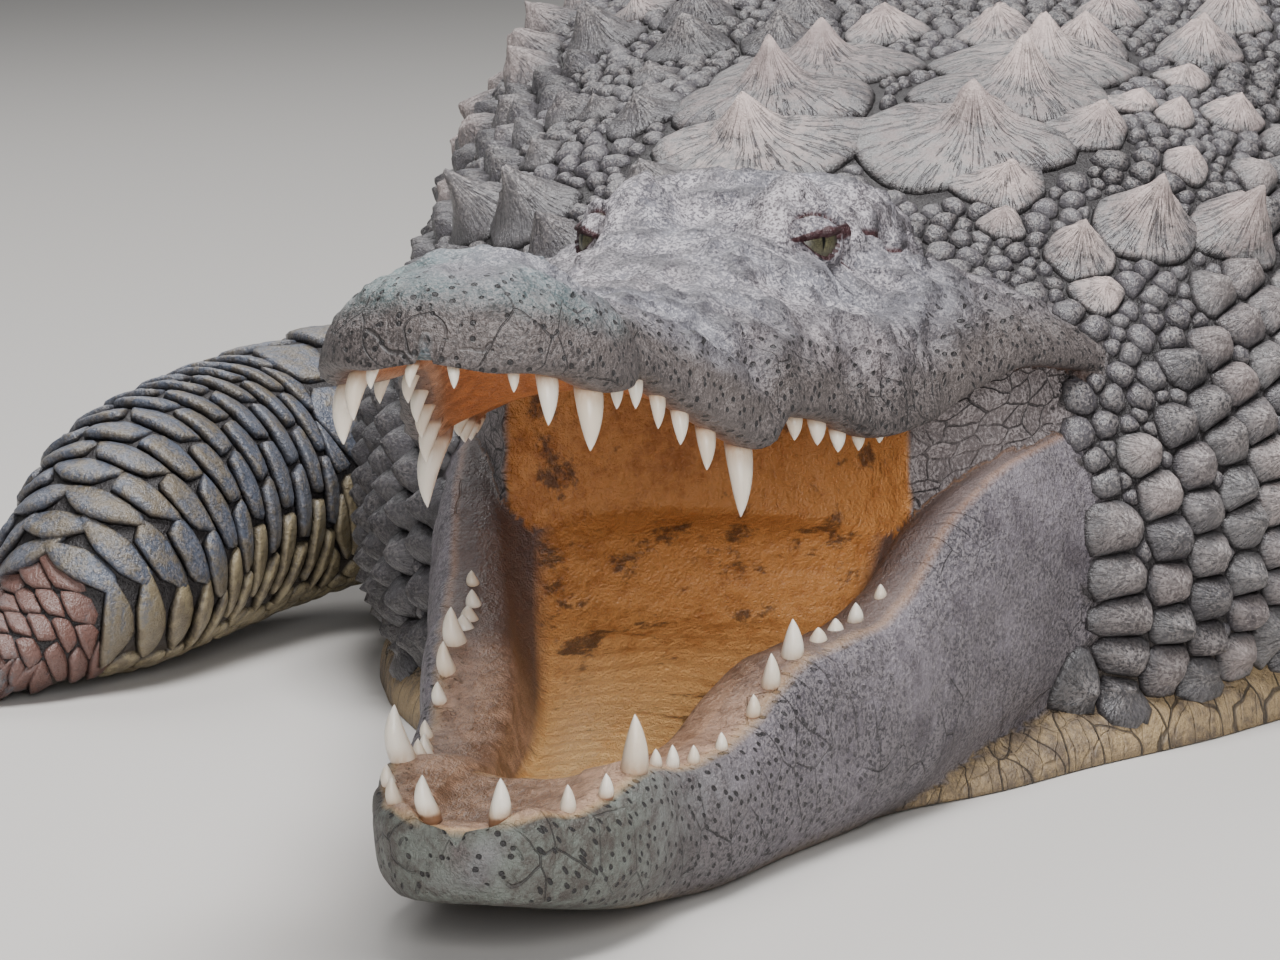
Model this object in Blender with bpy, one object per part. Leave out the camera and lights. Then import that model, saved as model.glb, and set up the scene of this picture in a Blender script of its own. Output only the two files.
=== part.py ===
"""A life-size Nile crocodile at rest on its belly, with its jaws wide open.

Metres, +Z up, +X towards the snout, +Y to the animal's left. The origin lies on the floor under the
middle of the trunk. Most sizes run along the animal, as the distance behind the tip of the lower jaw.
"""

import math

import bmesh
import bpy
import numpy as np
from mathutils import Matrix

# ---------------------------------------------------------------- driving sizes
NOSE_X = 1.52              # the lower jaw's tip, ahead of the origin
JAW_LENGTH = 0.64          # lower jaw, tip to hinge
JAW_SLOPE = math.radians(7)  # the lower jaw is deeper behind, so its tooth row rises backwards
JAW_SINK = 0.010           # the floor's height at the jaw's tip, in the jaw's own frame
HINGE_HEIGHT = 0.10        # in the jaw's own frame
GAPE = math.radians(19.5)  # how far the skull is lifted off the lower jaw
NECK = 0.52                # the neck's front end, hidden between the jaws
SHOULDER = 1.00            # neck to trunk
HIP = 2.06                 # trunk to tail
TAIL_TIP = 4.26
TAIL_TURN = math.radians(52)
BELLY_PRESS = 0.008        # how far the soft belly is pressed flat by the floor
GAP = 0.0005               # clearance between neighbouring solids
SCUTE_WIDTH = 0.066        # one lengthwise row of back plates
KEEL = 0.012               # ridge on a back plate
CREST = 0.042              # tallest upright scale on the tail


def profile(stations, x):
    """A smooth curve through (place, value) stations that never overshoots them."""
    px, py = (np.array(v, float) for v in zip(*stations))
    step = np.diff(px)
    slope = np.diff(py) / step
    tangent = np.zeros(len(px))
    same_way = slope[:-1] * slope[1:] > 0
    a, b = 2 * step[1:] + step[:-1], step[1:] + 2 * step[:-1]
    with np.errstate(divide="ignore", invalid="ignore"):
        mean = (a + b) / (a / slope[:-1] + b / slope[1:])
    tangent[1:-1] = np.where(same_way, mean, 0.0)
    tangent[0], tangent[-1] = slope[0], slope[-1]
    x = np.clip(np.asarray(x, float), px[0], px[-1])
    i = np.clip(np.searchsorted(px, x) - 1, 0, len(px) - 2)
    t = (x - px[i]) / step[i]
    return (
        py[i] * (1 + 2 * t) * (1 - t) ** 2
        + tangent[i] * step[i] * t * (1 - t) ** 2
        + py[i + 1] * t * t * (3 - 2 * t)
        - tangent[i + 1] * step[i] * t * t * (1 - t)
    )


def bump(distance, radius):
    """1 at the middle, falling smoothly to 0 at the radius."""
    return np.clip(1 - (distance / radius) ** 2, 0, 1) ** 2


# ---------------------------------------------------------------- meshes
def skin(name, colour, roughness=0.75):
    material = bpy.data.materials.get(name)
    if material is None:
        material = bpy.data.materials.new(name)
        material.use_nodes = True
        shader = material.node_tree.nodes["Principled BSDF"]
        shader.inputs["Base Color"].default_value = (*colour, 1)
        shader.inputs["Roughness"].default_value = roughness
    return material


def hide():
    return skin("hide", (0.27, 0.26, 0.23))


def horn():
    return skin("horn", (0.30, 0.26, 0.24), 0.5)


def solid(name, bm, material):
    """One object from a bmesh, in triangles, with its faces turned outwards."""
    bmesh.ops.triangulate(bm, faces=bm.faces)
    bmesh.ops.recalc_face_normals(bm, faces=bm.faces)
    if bm.calc_volume(signed=True) < 0:
        bmesh.ops.reverse_faces(bm, faces=bm.faces)
    mesh = bpy.data.meshes.new(name)
    bm.to_mesh(mesh)
    bm.free()
    mesh.materials.append(material)
    obj = bpy.data.objects.new(name, mesh)
    bpy.context.scene.collection.objects.link(obj)
    mesh.shade_smooth()
    mesh.set_sharp_from_angle(angle=math.radians(40))
    return obj


def add_loft(bm, rings):
    """Joins rings of equal count into a closed skin, with a flat cap on each end."""
    rows = [[bm.verts.new(point) for point in ring] for ring in rings]
    count = len(rows[0])
    for first, second in zip(rows, rows[1:]):
        for j in range(count):
            k = (j + 1) % count
            bm.faces.new((first[j], first[k], second[k], second[j]))
    bm.faces.new(rows[0])
    bm.faces.new(rows[-1])


def add_spike(bm, base, tip, radius, sides, bow=(0, 0, 0)):
    """A pointed cone from base to tip, pushed aside in its middle by bow."""
    base, tip, bow = (np.array(v, float) for v in (base, tip, bow))
    axis = (tip - base) / np.linalg.norm(tip - base)
    across = np.cross(axis, (0.31, 0.95, 0.05))
    across /= np.linalg.norm(across)
    other = np.cross(axis, across)
    angles = np.arange(sides) * 2 * math.pi / sides
    wheel = np.cos(angles)[:, None] * across + np.sin(angles)[:, None] * other
    rows = [[bm.verts.new(p) for p in base + wheel * radius]]
    if np.any(bow):
        rows.append([bm.verts.new(p) for p in (base + tip) / 2 + bow + wheel * radius * 0.72])
    point = bm.verts.new(tip)
    for j in range(sides):
        k = (j + 1) % sides
        if len(rows) > 1:
            bm.faces.new((rows[0][j], rows[0][k], rows[1][k], rows[1][j]))
        bm.faces.new((rows[-1][j], rows[-1][k], point))
    bm.faces.new(rows[0])


def boolean(obj, other, operation):
    """Joins or cuts obj with other, which is then only a helper."""
    modifier = obj.modifiers.new(f"{operation.lower()} {other.name}", "BOOLEAN")
    modifier.operation = operation
    modifier.object = other
    if other.display_type != "WIRE" and operation == "UNION":
        other.hide_render = True
        other.display_type = "WIRE"


def cut(obj, cutters):
    for cutter in cutters:
        boolean(obj, cutter, "DIFFERENCE")


def swollen(obj, gap=GAP):
    """A hidden copy of obj, grown by the clearance, that cuts obj's place out of a neighbour."""
    bpy.context.view_layer.update()
    graph = bpy.context.evaluated_depsgraph_get()
    bm = bmesh.new()
    bm.from_object(obj, graph)
    bm.normal_update()
    moves = [v.normal * gap for v in bm.verts]
    for vert, move in zip(bm.verts, moves):
        vert.co += move
    cutter = solid(f"cutter_{obj.name}", bm, hide())
    cutter.hide_render = True
    cutter.display_type = "WIRE"
    return cutter


def world(points):
    """Points given as (distance behind the jaw tip, left, up), placed in the model's frame."""
    points = np.array(points, float)
    points[..., 0] = NOSE_X - points[..., 0]
    return points


def jaw_world(points):
    """Points of the lower jaw's own frame, whose tooth row is level, placed in the model's frame."""
    points = np.array(points, float)
    x, z = points[..., 0], points[..., 2] - JAW_SINK
    turned = (
        x * math.cos(JAW_SLOPE) - z * math.sin(JAW_SLOPE),
        points[..., 1],
        np.maximum(x * math.sin(JAW_SLOPE) + z * math.cos(JAW_SLOPE), 0),
    )
    return world(np.stack(turned, -1))


def lifted(points):
    """Turns points of the closed skull up about the jaw hinge, in the jaw's own frame."""
    points = np.array(points, float)
    x, z = points[..., 0] - JAW_LENGTH, points[..., 2] - HINGE_HEIGHT
    points[..., 0] = JAW_LENGTH + x * math.cos(GAPE) + z * math.sin(GAPE)
    points[..., 2] = HINGE_HEIGHT - x * math.sin(GAPE) + z * math.cos(GAPE)
    return points


# ---------------------------------------------------------------- skull and upper jaw
SKULL_HALF_WIDTH = (
    (-0.032, 0.006), (-0.024, 0.036), (-0.005, 0.057), (0.03, 0.073), (0.06, 0.075), (0.10, 0.065),
    (0.14, 0.072), (0.19, 0.088), (0.235, 0.099), (0.27, 0.104), (0.36, 0.125), (0.45, 0.150),
    (0.55, 0.178), (0.63, 0.192), (0.665, 0.178),
)
SKULL_TOP = (
    (-0.032, 0.108), (-0.022, 0.128), (0.01, 0.142), (0.06, 0.146), (0.12, 0.138), (0.22, 0.146),
    (0.32, 0.168), (0.40, 0.196), (0.47, 0.212), (0.56, 0.205), (0.63, 0.185), (0.665, 0.165),
)
UPPER_LIP = (
    (-0.032, 0.100), (0.0, 0.094), (0.035, 0.086), (0.07, 0.091), (0.105, 0.099), (0.14, 0.092),
    (0.19, 0.078), (0.226, 0.071), (0.258, 0.090), (0.30, 0.091), (0.35, 0.085), (0.40, 0.094),
    (0.45, 0.116), (0.52, 0.136), (0.58, 0.138), (0.665, 0.125),
)
PALATE_RISE = ((-0.032, 0.002), (0.02, 0.010), (0.15, 0.016), (0.40, 0.024), (0.52, 0.006), (0.665, 0.004))
# how boxy a cross section is: 2 is an ellipse, and less is a gable
SKULL_SQUARENESS = (
    (-0.032, 2.3), (0.05, 2.4), (0.12, 2.2), (0.25, 2.2), (0.36, 1.95), (0.43, 1.8), (0.50, 1.8), (0.665, 2.1),
)
EYE = (0.431, 0.055, 0.191)
EYE_RADIUS = 0.019
TABLE_FRONT, TABLE_BACK, TABLE_HALF_WIDTH, TABLE_TOP = 0.462, 0.575, 0.080, 0.240


def skull_relief(x, y):
    """How far the nostril mound, brows and flat skull table stand over the plain dome, and how deep the
    hollow beside each eye lies under it."""
    side = np.abs(y)
    nostrils = 0.010 * bump(np.hypot(x - 0.052, y), 0.052)
    brow = 0.026 * bump(np.hypot((x - 0.430) * 0.7, side - 0.046), 0.032)
    hollow = 0.016 * bump(np.hypot((x - 0.428) * 0.7, side - 0.094), 0.032)
    ridge = 0.008 * bump(np.hypot((x - 0.355) * 0.6, side - 0.034), 0.030)
    across = 1 / (1 + np.exp((side - TABLE_HALF_WIDTH) / 0.006))
    along = 1 / (1 + np.exp((TABLE_FRONT - x) / 0.012)) / (1 + np.exp((x - TABLE_BACK) / 0.008))
    table = np.maximum(TABLE_TOP - profile(SKULL_TOP, x), 0) * across * along
    return nostrils + brow - hollow + ridge + table


def skull_ring(x, outer=13, inner=3):
    """One cross section of the upper jaw: over the top from lip to lip, then back along the palate."""
    half, top, lip = (float(profile(table, x)) for table in (SKULL_HALF_WIDTH, SKULL_TOP, UPPER_LIP))
    squareness = 2 / float(profile(SKULL_SQUARENESS, x))
    over = np.linspace(math.pi / 2, -math.pi / 2, outer)
    y = half * np.sign(over) * np.abs(np.sin(over)) ** squareness
    z = lip + (top - lip) * np.abs(np.cos(over)) ** squareness
    z += skull_relief(x, y) * np.clip((z - lip) / (top - lip) * 1.6, 0, 1)
    gum = half - min(0.020, half * 0.4)
    y_in = np.linspace(-gum, gum, inner)
    z_in = lip + 0.003 + profile(PALATE_RISE, x) * (1 - (y_in / gum) ** 2)
    return np.stack([np.full(outer + inner, x), np.append(y, y_in), np.append(z, z_in)], 1)


# (place along the jaw, place across, length, base radius) of each tooth on the left
UPPER_TEETH = (
    (-0.019, 0.010, 0.012, 0.0036), (-0.004, 0.035, 0.012, 0.0036), (0.011, 0.047, 0.026, 0.0065),
    (0.036, 0.060, 0.033, 0.0085), (0.080, 0.060, 0.015, 0.0045), (0.117, 0.058, 0.017, 0.0050),
    (0.143, 0.062, 0.019, 0.0050), (0.166, 0.067, 0.019, 0.0055), (0.193, 0.073, 0.023, 0.0062),
    (0.226, 0.081, 0.040, 0.0085), (0.259, 0.088, 0.011, 0.0045), (0.286, 0.093, 0.015, 0.0056),
    (0.313, 0.098, 0.015, 0.0060), (0.337, 0.103, 0.013, 0.0055), (0.361, 0.108, 0.010, 0.0045),
    (0.385, 0.113, 0.009, 0.0040), (0.404, 0.118, 0.007, 0.0035),
)
LOWER_TEETH = (
    (0.015, 0.018, 0.020, 0.0066), (0.040, 0.044, 0.015, 0.0052), (0.065, 0.056, 0.012, 0.0048),
    (0.099, 0.060, 0.031, 0.0085), (0.128, 0.062, 0.010, 0.0042), (0.146, 0.065, 0.013, 0.0046),
    (0.163, 0.071, 0.010, 0.0042), (0.186, 0.079, 0.010, 0.0042), (0.226, 0.085, 0.012, 0.0050),
    (0.250, 0.088, 0.019, 0.0062), (0.278, 0.092, 0.023, 0.0076), (0.308, 0.098, 0.010, 0.0065),
    (0.328, 0.102, 0.010, 0.0062), (0.351, 0.107, 0.011, 0.0055), (0.374, 0.115, 0.009, 0.0045),
)
TOOTH_ROOT = 0.006  # how deep a tooth is set in the gum
SPLAY = 0.10        # how far a tooth leans outwards, as a share of its length


def add_teeth(bm, rows, gum_heights, way, place):
    """Both sides of a row of teeth. way is 1 for teeth that stand up and -1 for those that hang."""
    for x, y, length, radius in rows:
        gum = float(profile(gum_heights, x))
        for side in (1, -1):
            base = np.array((x, side * y, gum - way * TOOTH_ROOT))
            tip = np.array((x - 0.05 * length, side * (y + SPLAY * length), gum + way * length))
            ends = jaw_world(place(np.array((base, tip))))
            add_spike(bm, ends[0], ends[1], radius * (1 + TOOTH_ROOT / length), 4)


def spaced(start, end, step):
    return np.linspace(start, end, max(2, round((end - start) / step) + 1))


def make_skull():
    bm = bmesh.new()
    places = np.concatenate([[-0.032, -0.027, -0.017], spaced(0, 0.665, 0.0277)])
    add_loft(bm, [jaw_world(lifted(skull_ring(x))) for x in places])
    skull = solid("skull", bm, hide())
    teeth = bmesh.new()
    add_teeth(teeth, UPPER_TEETH, UPPER_LIP, -1, lifted)
    boolean(skull, solid("upper_teeth", teeth, skin("tooth", (0.80, 0.72, 0.60), 0.35)), "UNION")
    return skull


def make_eye(name, side, skull):
    """The part of an eyeball that stands out of the skull it sits in."""
    bm = bmesh.new()
    bmesh.ops.create_uvsphere(bm, u_segments=10, v_segments=7, radius=EYE_RADIUS)
    x, y, z = EYE
    bm.transform(Matrix.Translation(jaw_world(lifted((x, side * y, z)))))
    eye = solid(name, bm, skin("eye", (0.25, 0.24, 0.12), 0.1))
    boolean(eye, skull, "DIFFERENCE")
    return eye


# ---------------------------------------------------------------- lower jaw
JAW_HALF_WIDTH = (
    (0.0, 0.008), (0.006, 0.027), (0.03, 0.051), (0.06, 0.065), (0.10, 0.074), (0.13, 0.076),
    (0.18, 0.091), (0.25, 0.107), (0.32, 0.130), (0.42, 0.158), (0.52, 0.184), (0.60, 0.199), (0.665, 0.190),
)
LOWER_GUM = (
    (0.0, 0.080), (0.016, 0.085), (0.04, 0.079), (0.10, 0.080), (0.16, 0.063), (0.20, 0.062),
    (0.25, 0.075), (0.28, 0.081), (0.34, 0.078), (0.38, 0.086), (0.43, 0.112), (0.50, 0.124),
    (0.60, 0.120), (0.665, 0.105),
)
SHELF = ((0.0, 0.01), (0.06, 0.03), (0.16, 0.040), (0.30, 0.042), (0.42, 0.038), (0.665, 0.036))
MOUTH_FLOOR = (
    (0.0, 0.076), (0.016, 0.079), (0.045, 0.071), (0.105, 0.073), (0.135, 0.052), (0.20, 0.036), (0.30, 0.036),
    (0.40, 0.058), (0.46, 0.100), (0.665, 0.104),
)
JAW_BASE = (
    (0.0, 0.058), (0.008, 0.044), (0.03, 0.034), (0.07, 0.018), (0.13, -0.002), (0.19, -0.0155), (0.665, -0.0745),
)
JAW_SIDE = ((0.55, 0.0), (0.78, 0.04), (0.93, 0.22), (1.0, 0.52), (0.975, 0.82), (0.91, 0.98))


def jaw_ring(x):
    """One cross section of the lower jaw, a trough: up the left side, over the gum and down to the floor
    of the mouth, then the same on the right, and back along the flat underside."""
    half, base, gum, shelf, floor = (
        float(profile(t, x)) for t in (JAW_HALF_WIDTH, JAW_BASE, LOWER_GUM, SHELF, MOUTH_FLOOR)
    )
    floor = min(floor, gum - 0.003)
    inner = max(half - shelf, half * 0.35)
    left = [(half * across, base + (gum - base) * up) for across, up in JAW_SIDE]
    left += [(inner + 0.15 * (half - inner), gum), (inner * 0.95, (gum + floor) / 2), (inner * 0.7, floor)]
    right = [(-y, z) for y, z in reversed(left)]
    section = left + [(0.0, floor)] + right
    return np.array([(x, y, z) for y, z in section])


def make_lower_jaw():
    bm = bmesh.new()
    places = np.concatenate([[0.0, 0.006, 0.015], spaced(0.03, 0.665, 0.045)])
    add_loft(bm, [jaw_world(jaw_ring(x)) for x in places])
    jaw = solid("lower_jaw", bm, hide())
    teeth = bmesh.new()
    add_teeth(teeth, LOWER_TEETH, LOWER_GUM, 1, lambda points: points)
    boolean(jaw, solid("lower_teeth", teeth, skin("tooth", (0.80, 0.72, 0.60), 0.35)), "UNION")
    return jaw


def make_cheeks():
    """The wedge of flesh behind the corners of the mouth: the folded cheeks outside and, inside, the
    flap that shuts the throat. Its front is hollowed, and it rises from the lower jaw to the skull."""
    bm = bmesh.new()
    rings = []
    for z in spaced(0.06, 0.192, 0.033):
        rise = (z - 0.06) / 0.132
        corner = 0.425 + 0.03 * rise
        throat = 0.458 + 0.030 * rise
        back = 0.655 - 0.10 * max(rise - 0.55, 0) / 0.45

        def half(x):
            jaw, above = profile(JAW_HALF_WIDTH, x), profile(SKULL_HALF_WIDTH, x)
            return float(jaw * 0.93 * (1 - rise) + above * 0.88 * rise)

        corner_half = half(corner)
        front = [(throat + (corner - throat) * t * t, t * corner_half) for t in np.linspace(-1, 1, 9)]
        behind = [(x, half(x)) for x in corner + (back - corner) * np.array((0.34, 0.67, 1.0))]
        outline = front + behind + [(x, -y) for x, y in reversed(behind)]
        rings.append(jaw_world([(x, y, z) for x, y in outline]))
    add_loft(bm, rings)
    return solid("cheeks", bm, skin("mouth", (0.62, 0.33, 0.10), 0.5))


# ---------------------------------------------------------------- neck, trunk and tail
BODY_HALF_WIDTH = (
    (0.52, 0.178), (0.56, 0.222), (0.62, 0.262), (0.70, 0.300), (0.76, 0.315), (0.85, 0.325), (1.00, 0.350),
    (1.20, 0.388), (1.50, 0.415), (1.80, 0.370), (2.02, 0.275), (2.20, 0.212), (2.60, 0.155),
    (3.20, 0.104), (3.80, 0.054), (4.15, 0.022), (TAIL_TIP, 0.008),
)
BODY_TOP = (
    (0.52, 0.225), (0.56, 0.255), (0.62, 0.282), (0.70, 0.316), (0.79, 0.350), (0.90, 0.360), (1.00, 0.376),
    (1.20, 0.408), (1.50, 0.420), (1.80, 0.388), (2.02, 0.335), (2.20, 0.294), (2.60, 0.240),
    (3.20, 0.176), (3.80, 0.100), (4.15, 0.052), (TAIL_TIP, 0.026),
)
# how high the widest place lies, as a share of the height
WIDEST = ((0.56, 0.34), (0.76, 0.30), (1.00, 0.48), (1.50, 0.42), (2.60, 0.48), (TAIL_TIP, 0.50))
SQUARE_TOP = ((0.56, 2.4), (0.76, 2.6), (1.10, 3.3), (1.6, 2.8), (2.6, 2.1), (TAIL_TIP, 2.0))
SQUARE_BELLY = ((0.56, 3.4), (1.9, 3.2), (2.6, 2.4), (TAIL_TIP, 2.2))
# (behind the tip, girth from the spine, height, reach along and across) of each keeled neck plate
NECK_PLATES = (
    (0.797, 0.080, 0.034, 0.056, 0.050), (0.893, 0.072, 0.030, 0.056, 0.050),
    (0.732, 0.068, 0.030, 0.050, 0.050), (0.693, 0.188, 0.034, 0.040, 0.036),
    (0.733, 0.240, 0.030, 0.036, 0.030), (0.685, 0.120, 0.020, 0.028, 0.026),
    (0.776, 0.150, 0.016, 0.024, 0.022), (0.955, 0.165, 0.024, 0.036, 0.034), (0.955, 0.065, 0.020, 0.034, 0.032),
)
TAIL_ROWS = 24


def spine_table():
    """Distance behind the jaw tip, and there the spine's x, y and the way it points back."""
    back = np.linspace(0.4, TAIL_TIP, 400)
    turn = TAIL_TURN * np.clip((back - HIP) / (TAIL_TIP - HIP), 0, 1) ** 1.4
    step = np.diff(back, prepend=back[0])
    x = NOSE_X - back[0] - np.cumsum(np.cos(turn) * step)
    return back, x, np.cumsum(np.sin(turn) * step), turn


SPINE = spine_table()


def body_section(back):
    """Evenly spaced places round one cross section, as girth from the ridge of the back to the left,
    with the width and height of each."""
    half, top = float(profile(BODY_HALF_WIDTH, back)), float(profile(BODY_TOP, back))
    middle = top * float(profile(WIDEST, back))
    angle = np.linspace(math.pi / 2, -math.pi / 2, 181)
    upper = angle > 0
    power = 2 / np.where(upper, float(profile(SQUARE_TOP, back)), float(profile(SQUARE_BELLY, back)))
    y = half * np.abs(np.cos(angle)) ** power
    rise = np.abs(np.sin(angle)) ** power
    z = middle + np.where(upper, (top - middle) * rise, -(middle + BELLY_PRESS) * rise)
    z = np.maximum(z, 0)
    return np.append(0, np.cumsum(np.hypot(np.diff(y), np.diff(z)))), y, z


def armour(back, girth):
    """Height of the keels on the plates of neck, back and tail over the plain body."""
    side = abs(girth)
    if back < SHOULDER:
        return max(
            h * float(bump(np.hypot((back - x) / along, (side - y) / across), 1.0)) ** 0.75
            for x, y, h, along, across in NECK_PLATES
        )
    if back < HIP:
        place = side / SCUTE_WIDTH
        if place > 4:
            return 0.0
        return KEEL * (1 - 2 * abs(place % 1 - 0.5)) * float(np.clip((back - SHOULDER) / 0.06, 0, 1))
    along = (back - HIP) / (TAIL_TIP - HIP) * TAIL_ROWS
    return tail_crest(along, side)


def tail_crest(along, side):
    """Two rows of upright scales that draw together, and stand as one row past two thirds of the tail."""
    share = along / TAIL_ROWS
    tall = CREST * float(profile(((0, 0.35), (0.45, 0.85), (0.62, 1.0), (0.9, 0.62), (1, 0.15)), share))
    apart = float(profile(((0, 0.105), (0.35, 0.055), (0.62, 0.0), (1, 0.0)), share))
    return tall * float(bump(side - apart, 0.022)) * (0.35 + 0.65 * (along % 1))


def body_ring(back, dorsal):
    """One cross section in the model's frame. dorsal lists the girths that carry plates."""
    girth, y, z = body_section(back)
    widest = girth[int(np.argmax(y))]
    dorsal = [g for g in dorsal if g < widest * 0.9] if back >= HIP else dorsal
    spans = 3 if back < HIP else 2
    rest = list(np.linspace(dorsal[-1], widest, spans + 1)[1:])
    rest += list(np.linspace(widest, girth[-1], spans + 1)[1:])
    left = []
    for g in list(dorsal) + rest:
        py, pz = float(np.interp(g, girth, y)), float(np.interp(g, girth, z))
        left.append((py, pz + armour(back, g) if g <= dorsal[-1] else pz))
    right = [(-py, pz) for py, pz in reversed(left[1:-1])]
    centre_x, centre_y, turn = (float(np.interp(back, SPINE[0], column)) for column in SPINE[1:])
    return [
        (centre_x + py * math.sin(turn), centre_y + py * math.cos(turn), pz) for py, pz in left + right
    ]


def dorsal_girths(back):
    """Where the vertices over the armour go: on the keels and in the furrows between them."""
    if back < SHOULDER:
        return list(np.linspace(0, 0.24, 8))
    if back < HIP:
        return [SCUTE_WIDTH * k / 2 for k in range(9)]
    share = (back - HIP) / (TAIL_TIP - HIP)
    apart = float(profile(((0, 0.105), (0.35, 0.055), (0.62, 0.0), (1, 0.0)), share))
    return [0, max(apart, 0.0035), max(apart, 0.0035) + 0.02 * (1 - 0.7 * share)]


def make_length(name, start, end, step, cap=GAP / 2):
    """A length of the body between two cross sections."""
    places = spaced(start + cap, end - cap, step)
    bm = bmesh.new()
    add_loft(bm, [body_ring(back, dorsal_girths(back)) for back in places])
    return solid(name, bm, hide())


def make_throat():
    """The broad pad of soft skin under the jaws, pressed out sideways by the floor."""
    widths = (
        (0.13, 0.018), (0.23, 0.056), (0.30, 0.088), (0.38, 0.126), (0.44, 0.165), (0.50, 0.195), (0.61, 0.258),
        (0.72, 0.296), (0.82, 0.298), (0.96, 0.250),
    )
    heights = (
        (0.13, 0.006), (0.25, 0.012), (0.40, 0.026), (0.50, 0.040), (0.61, 0.060), (0.74, 0.075), (0.84, 0.060), (0.96, 0.02),
    )
    bm = bmesh.new()
    rings = []
    for x in spaced(0.13, 0.96, 0.060):
        half, tall = float(profile(widths, x)), float(profile(heights, x))
        angles = np.linspace(0, math.pi, 9)
        y = half * np.sign(np.cos(angles)) * np.abs(np.cos(angles)) ** 0.7
        rings.append(world([(x, a, tall * b) for a, b in zip(y, np.sin(angles) ** 0.8)]))
    add_loft(bm, rings)
    return solid("throat", bm, skin("belly", (0.62, 0.52, 0.30)))


# ---------------------------------------------------------------- legs
def limb(name, joints, count, sides):
    """Oval cross sections along a smooth line through joints, each (x, y, z, half-width, half-height)."""
    joints = np.array(joints, float)
    span = np.append(0, np.cumsum(np.linalg.norm(np.diff(joints[:, :3], axis=0), axis=1)))
    span /= span[-1]
    at = np.linspace(0, 1, count)
    fields = [profile(list(zip(span, joints[:, k])), at) for k in range(5)]
    line = world(np.stack(fields[:3], 1))
    ahead = np.gradient(line, axis=0)
    ahead /= np.linalg.norm(ahead, axis=1)[:, None]
    across = np.cross(ahead, (0, 0, 1))
    across /= np.linalg.norm(across, axis=1)[:, None]
    up = np.cross(across, ahead)
    rings = []
    angles = np.arange(sides) * 2 * math.pi / sides
    for i in range(count):
        ring = (
            line[i]
            + across[i] * (fields[3][i] * np.cos(angles))[:, None]
            + up[i] * (fields[4][i] * np.sin(angles))[:, None]
        )
        ring[:, 2] = np.maximum(ring[:, 2], 0)
        rings.append(ring)
    bm = bmesh.new()
    add_loft(bm, rings)
    return solid(name, bm, hide())




def make_foot(name, wrist, heading, toes, size):
    """A flat palm, its toes and its claws. toes lists (angle, length, clawed) from the inner toe out,
    with angles turned outwards from the heading, a compass angle from straight ahead to the left.
    A hind foot is webbed."""
    side = -1 if name.startswith("right") else 1
    root = np.array(wrist[:3], float)

    def ahead(angle, far, z):
        turn = heading + side * angle
        return (root[0] - far * math.cos(turn), root[1] + far * math.sin(turn), z)

    knuckle = 0.085 * size
    palm = [
        (*ahead(0, -0.01, wrist[2]), wrist[3], wrist[4]),
        (*ahead(0, knuckle * 0.5, 0.026 * size), 0.052 * size, 0.028 * size),
        (*ahead(0, knuckle * 1.1, 0.016 * size), 0.060 * size, 0.018 * size),
    ]
    foot = limb(name, palm, 3, 8)
    for i, (angle, length, clawed) in enumerate(toes):
        far = knuckle + length * size
        spread = math.radians(angle)
        thick = 0.0135 * size
        path = [
            (*ahead(spread * 0.8, knuckle * 0.45, 0.018 * size), thick * 1.1, thick),
            (*ahead(spread, knuckle + 0.4 * length * size, 0.018 * size), thick, thick * 1.05),
            (*ahead(spread, far, 0.012 * size), thick * 0.75, thick * 0.8),
        ]
        toe = limb(f"toe_{name}_{i}", path, 3, 5)
        boolean(foot, toe, "UNION")
        if clawed:
            bm = bmesh.new()
            base = world(ahead(spread, far - 0.006, 0.013 * size))
            tip = world(ahead(spread, far + 0.040 * size, 0.002))
            add_spike(bm, base, tip, 0.0092 * size, 5, (0, 0, 0.006 * size))
            claw = solid(f"{name}_claw_{i + 1}", bm, horn())
            cut(foot, (swollen(claw),))
    if name.endswith("foot"):
        inner, outer = math.radians(toes[0][0]), math.radians(toes[-1][0])
        bm = bmesh.new()
        reach = knuckle + 0.55 * toes[1][1] * size
        fan = [ahead(a, reach, 0) for a in np.linspace(inner, outer, 5)]
        rows = [[(x, y, z) for x, y, _ in [ahead(0, knuckle * 0.3, 0)] + fan] for z in (0.006, 0.014)]
        add_loft(bm, [world(row) for row in rows])
        boolean(foot, solid(f"web_{name}", bm, hide()), "UNION")
    return foot


FRONT_TOES = ((-34, 0.050, True), (-14, 0.068, True), (6, 0.074, True), (26, 0.064, False), (46, 0.048, False))
HIND_TOES = ((-24, 0.070, True), (-6, 0.094, True), (12, 0.100, True), (30, 0.080, False))
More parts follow.
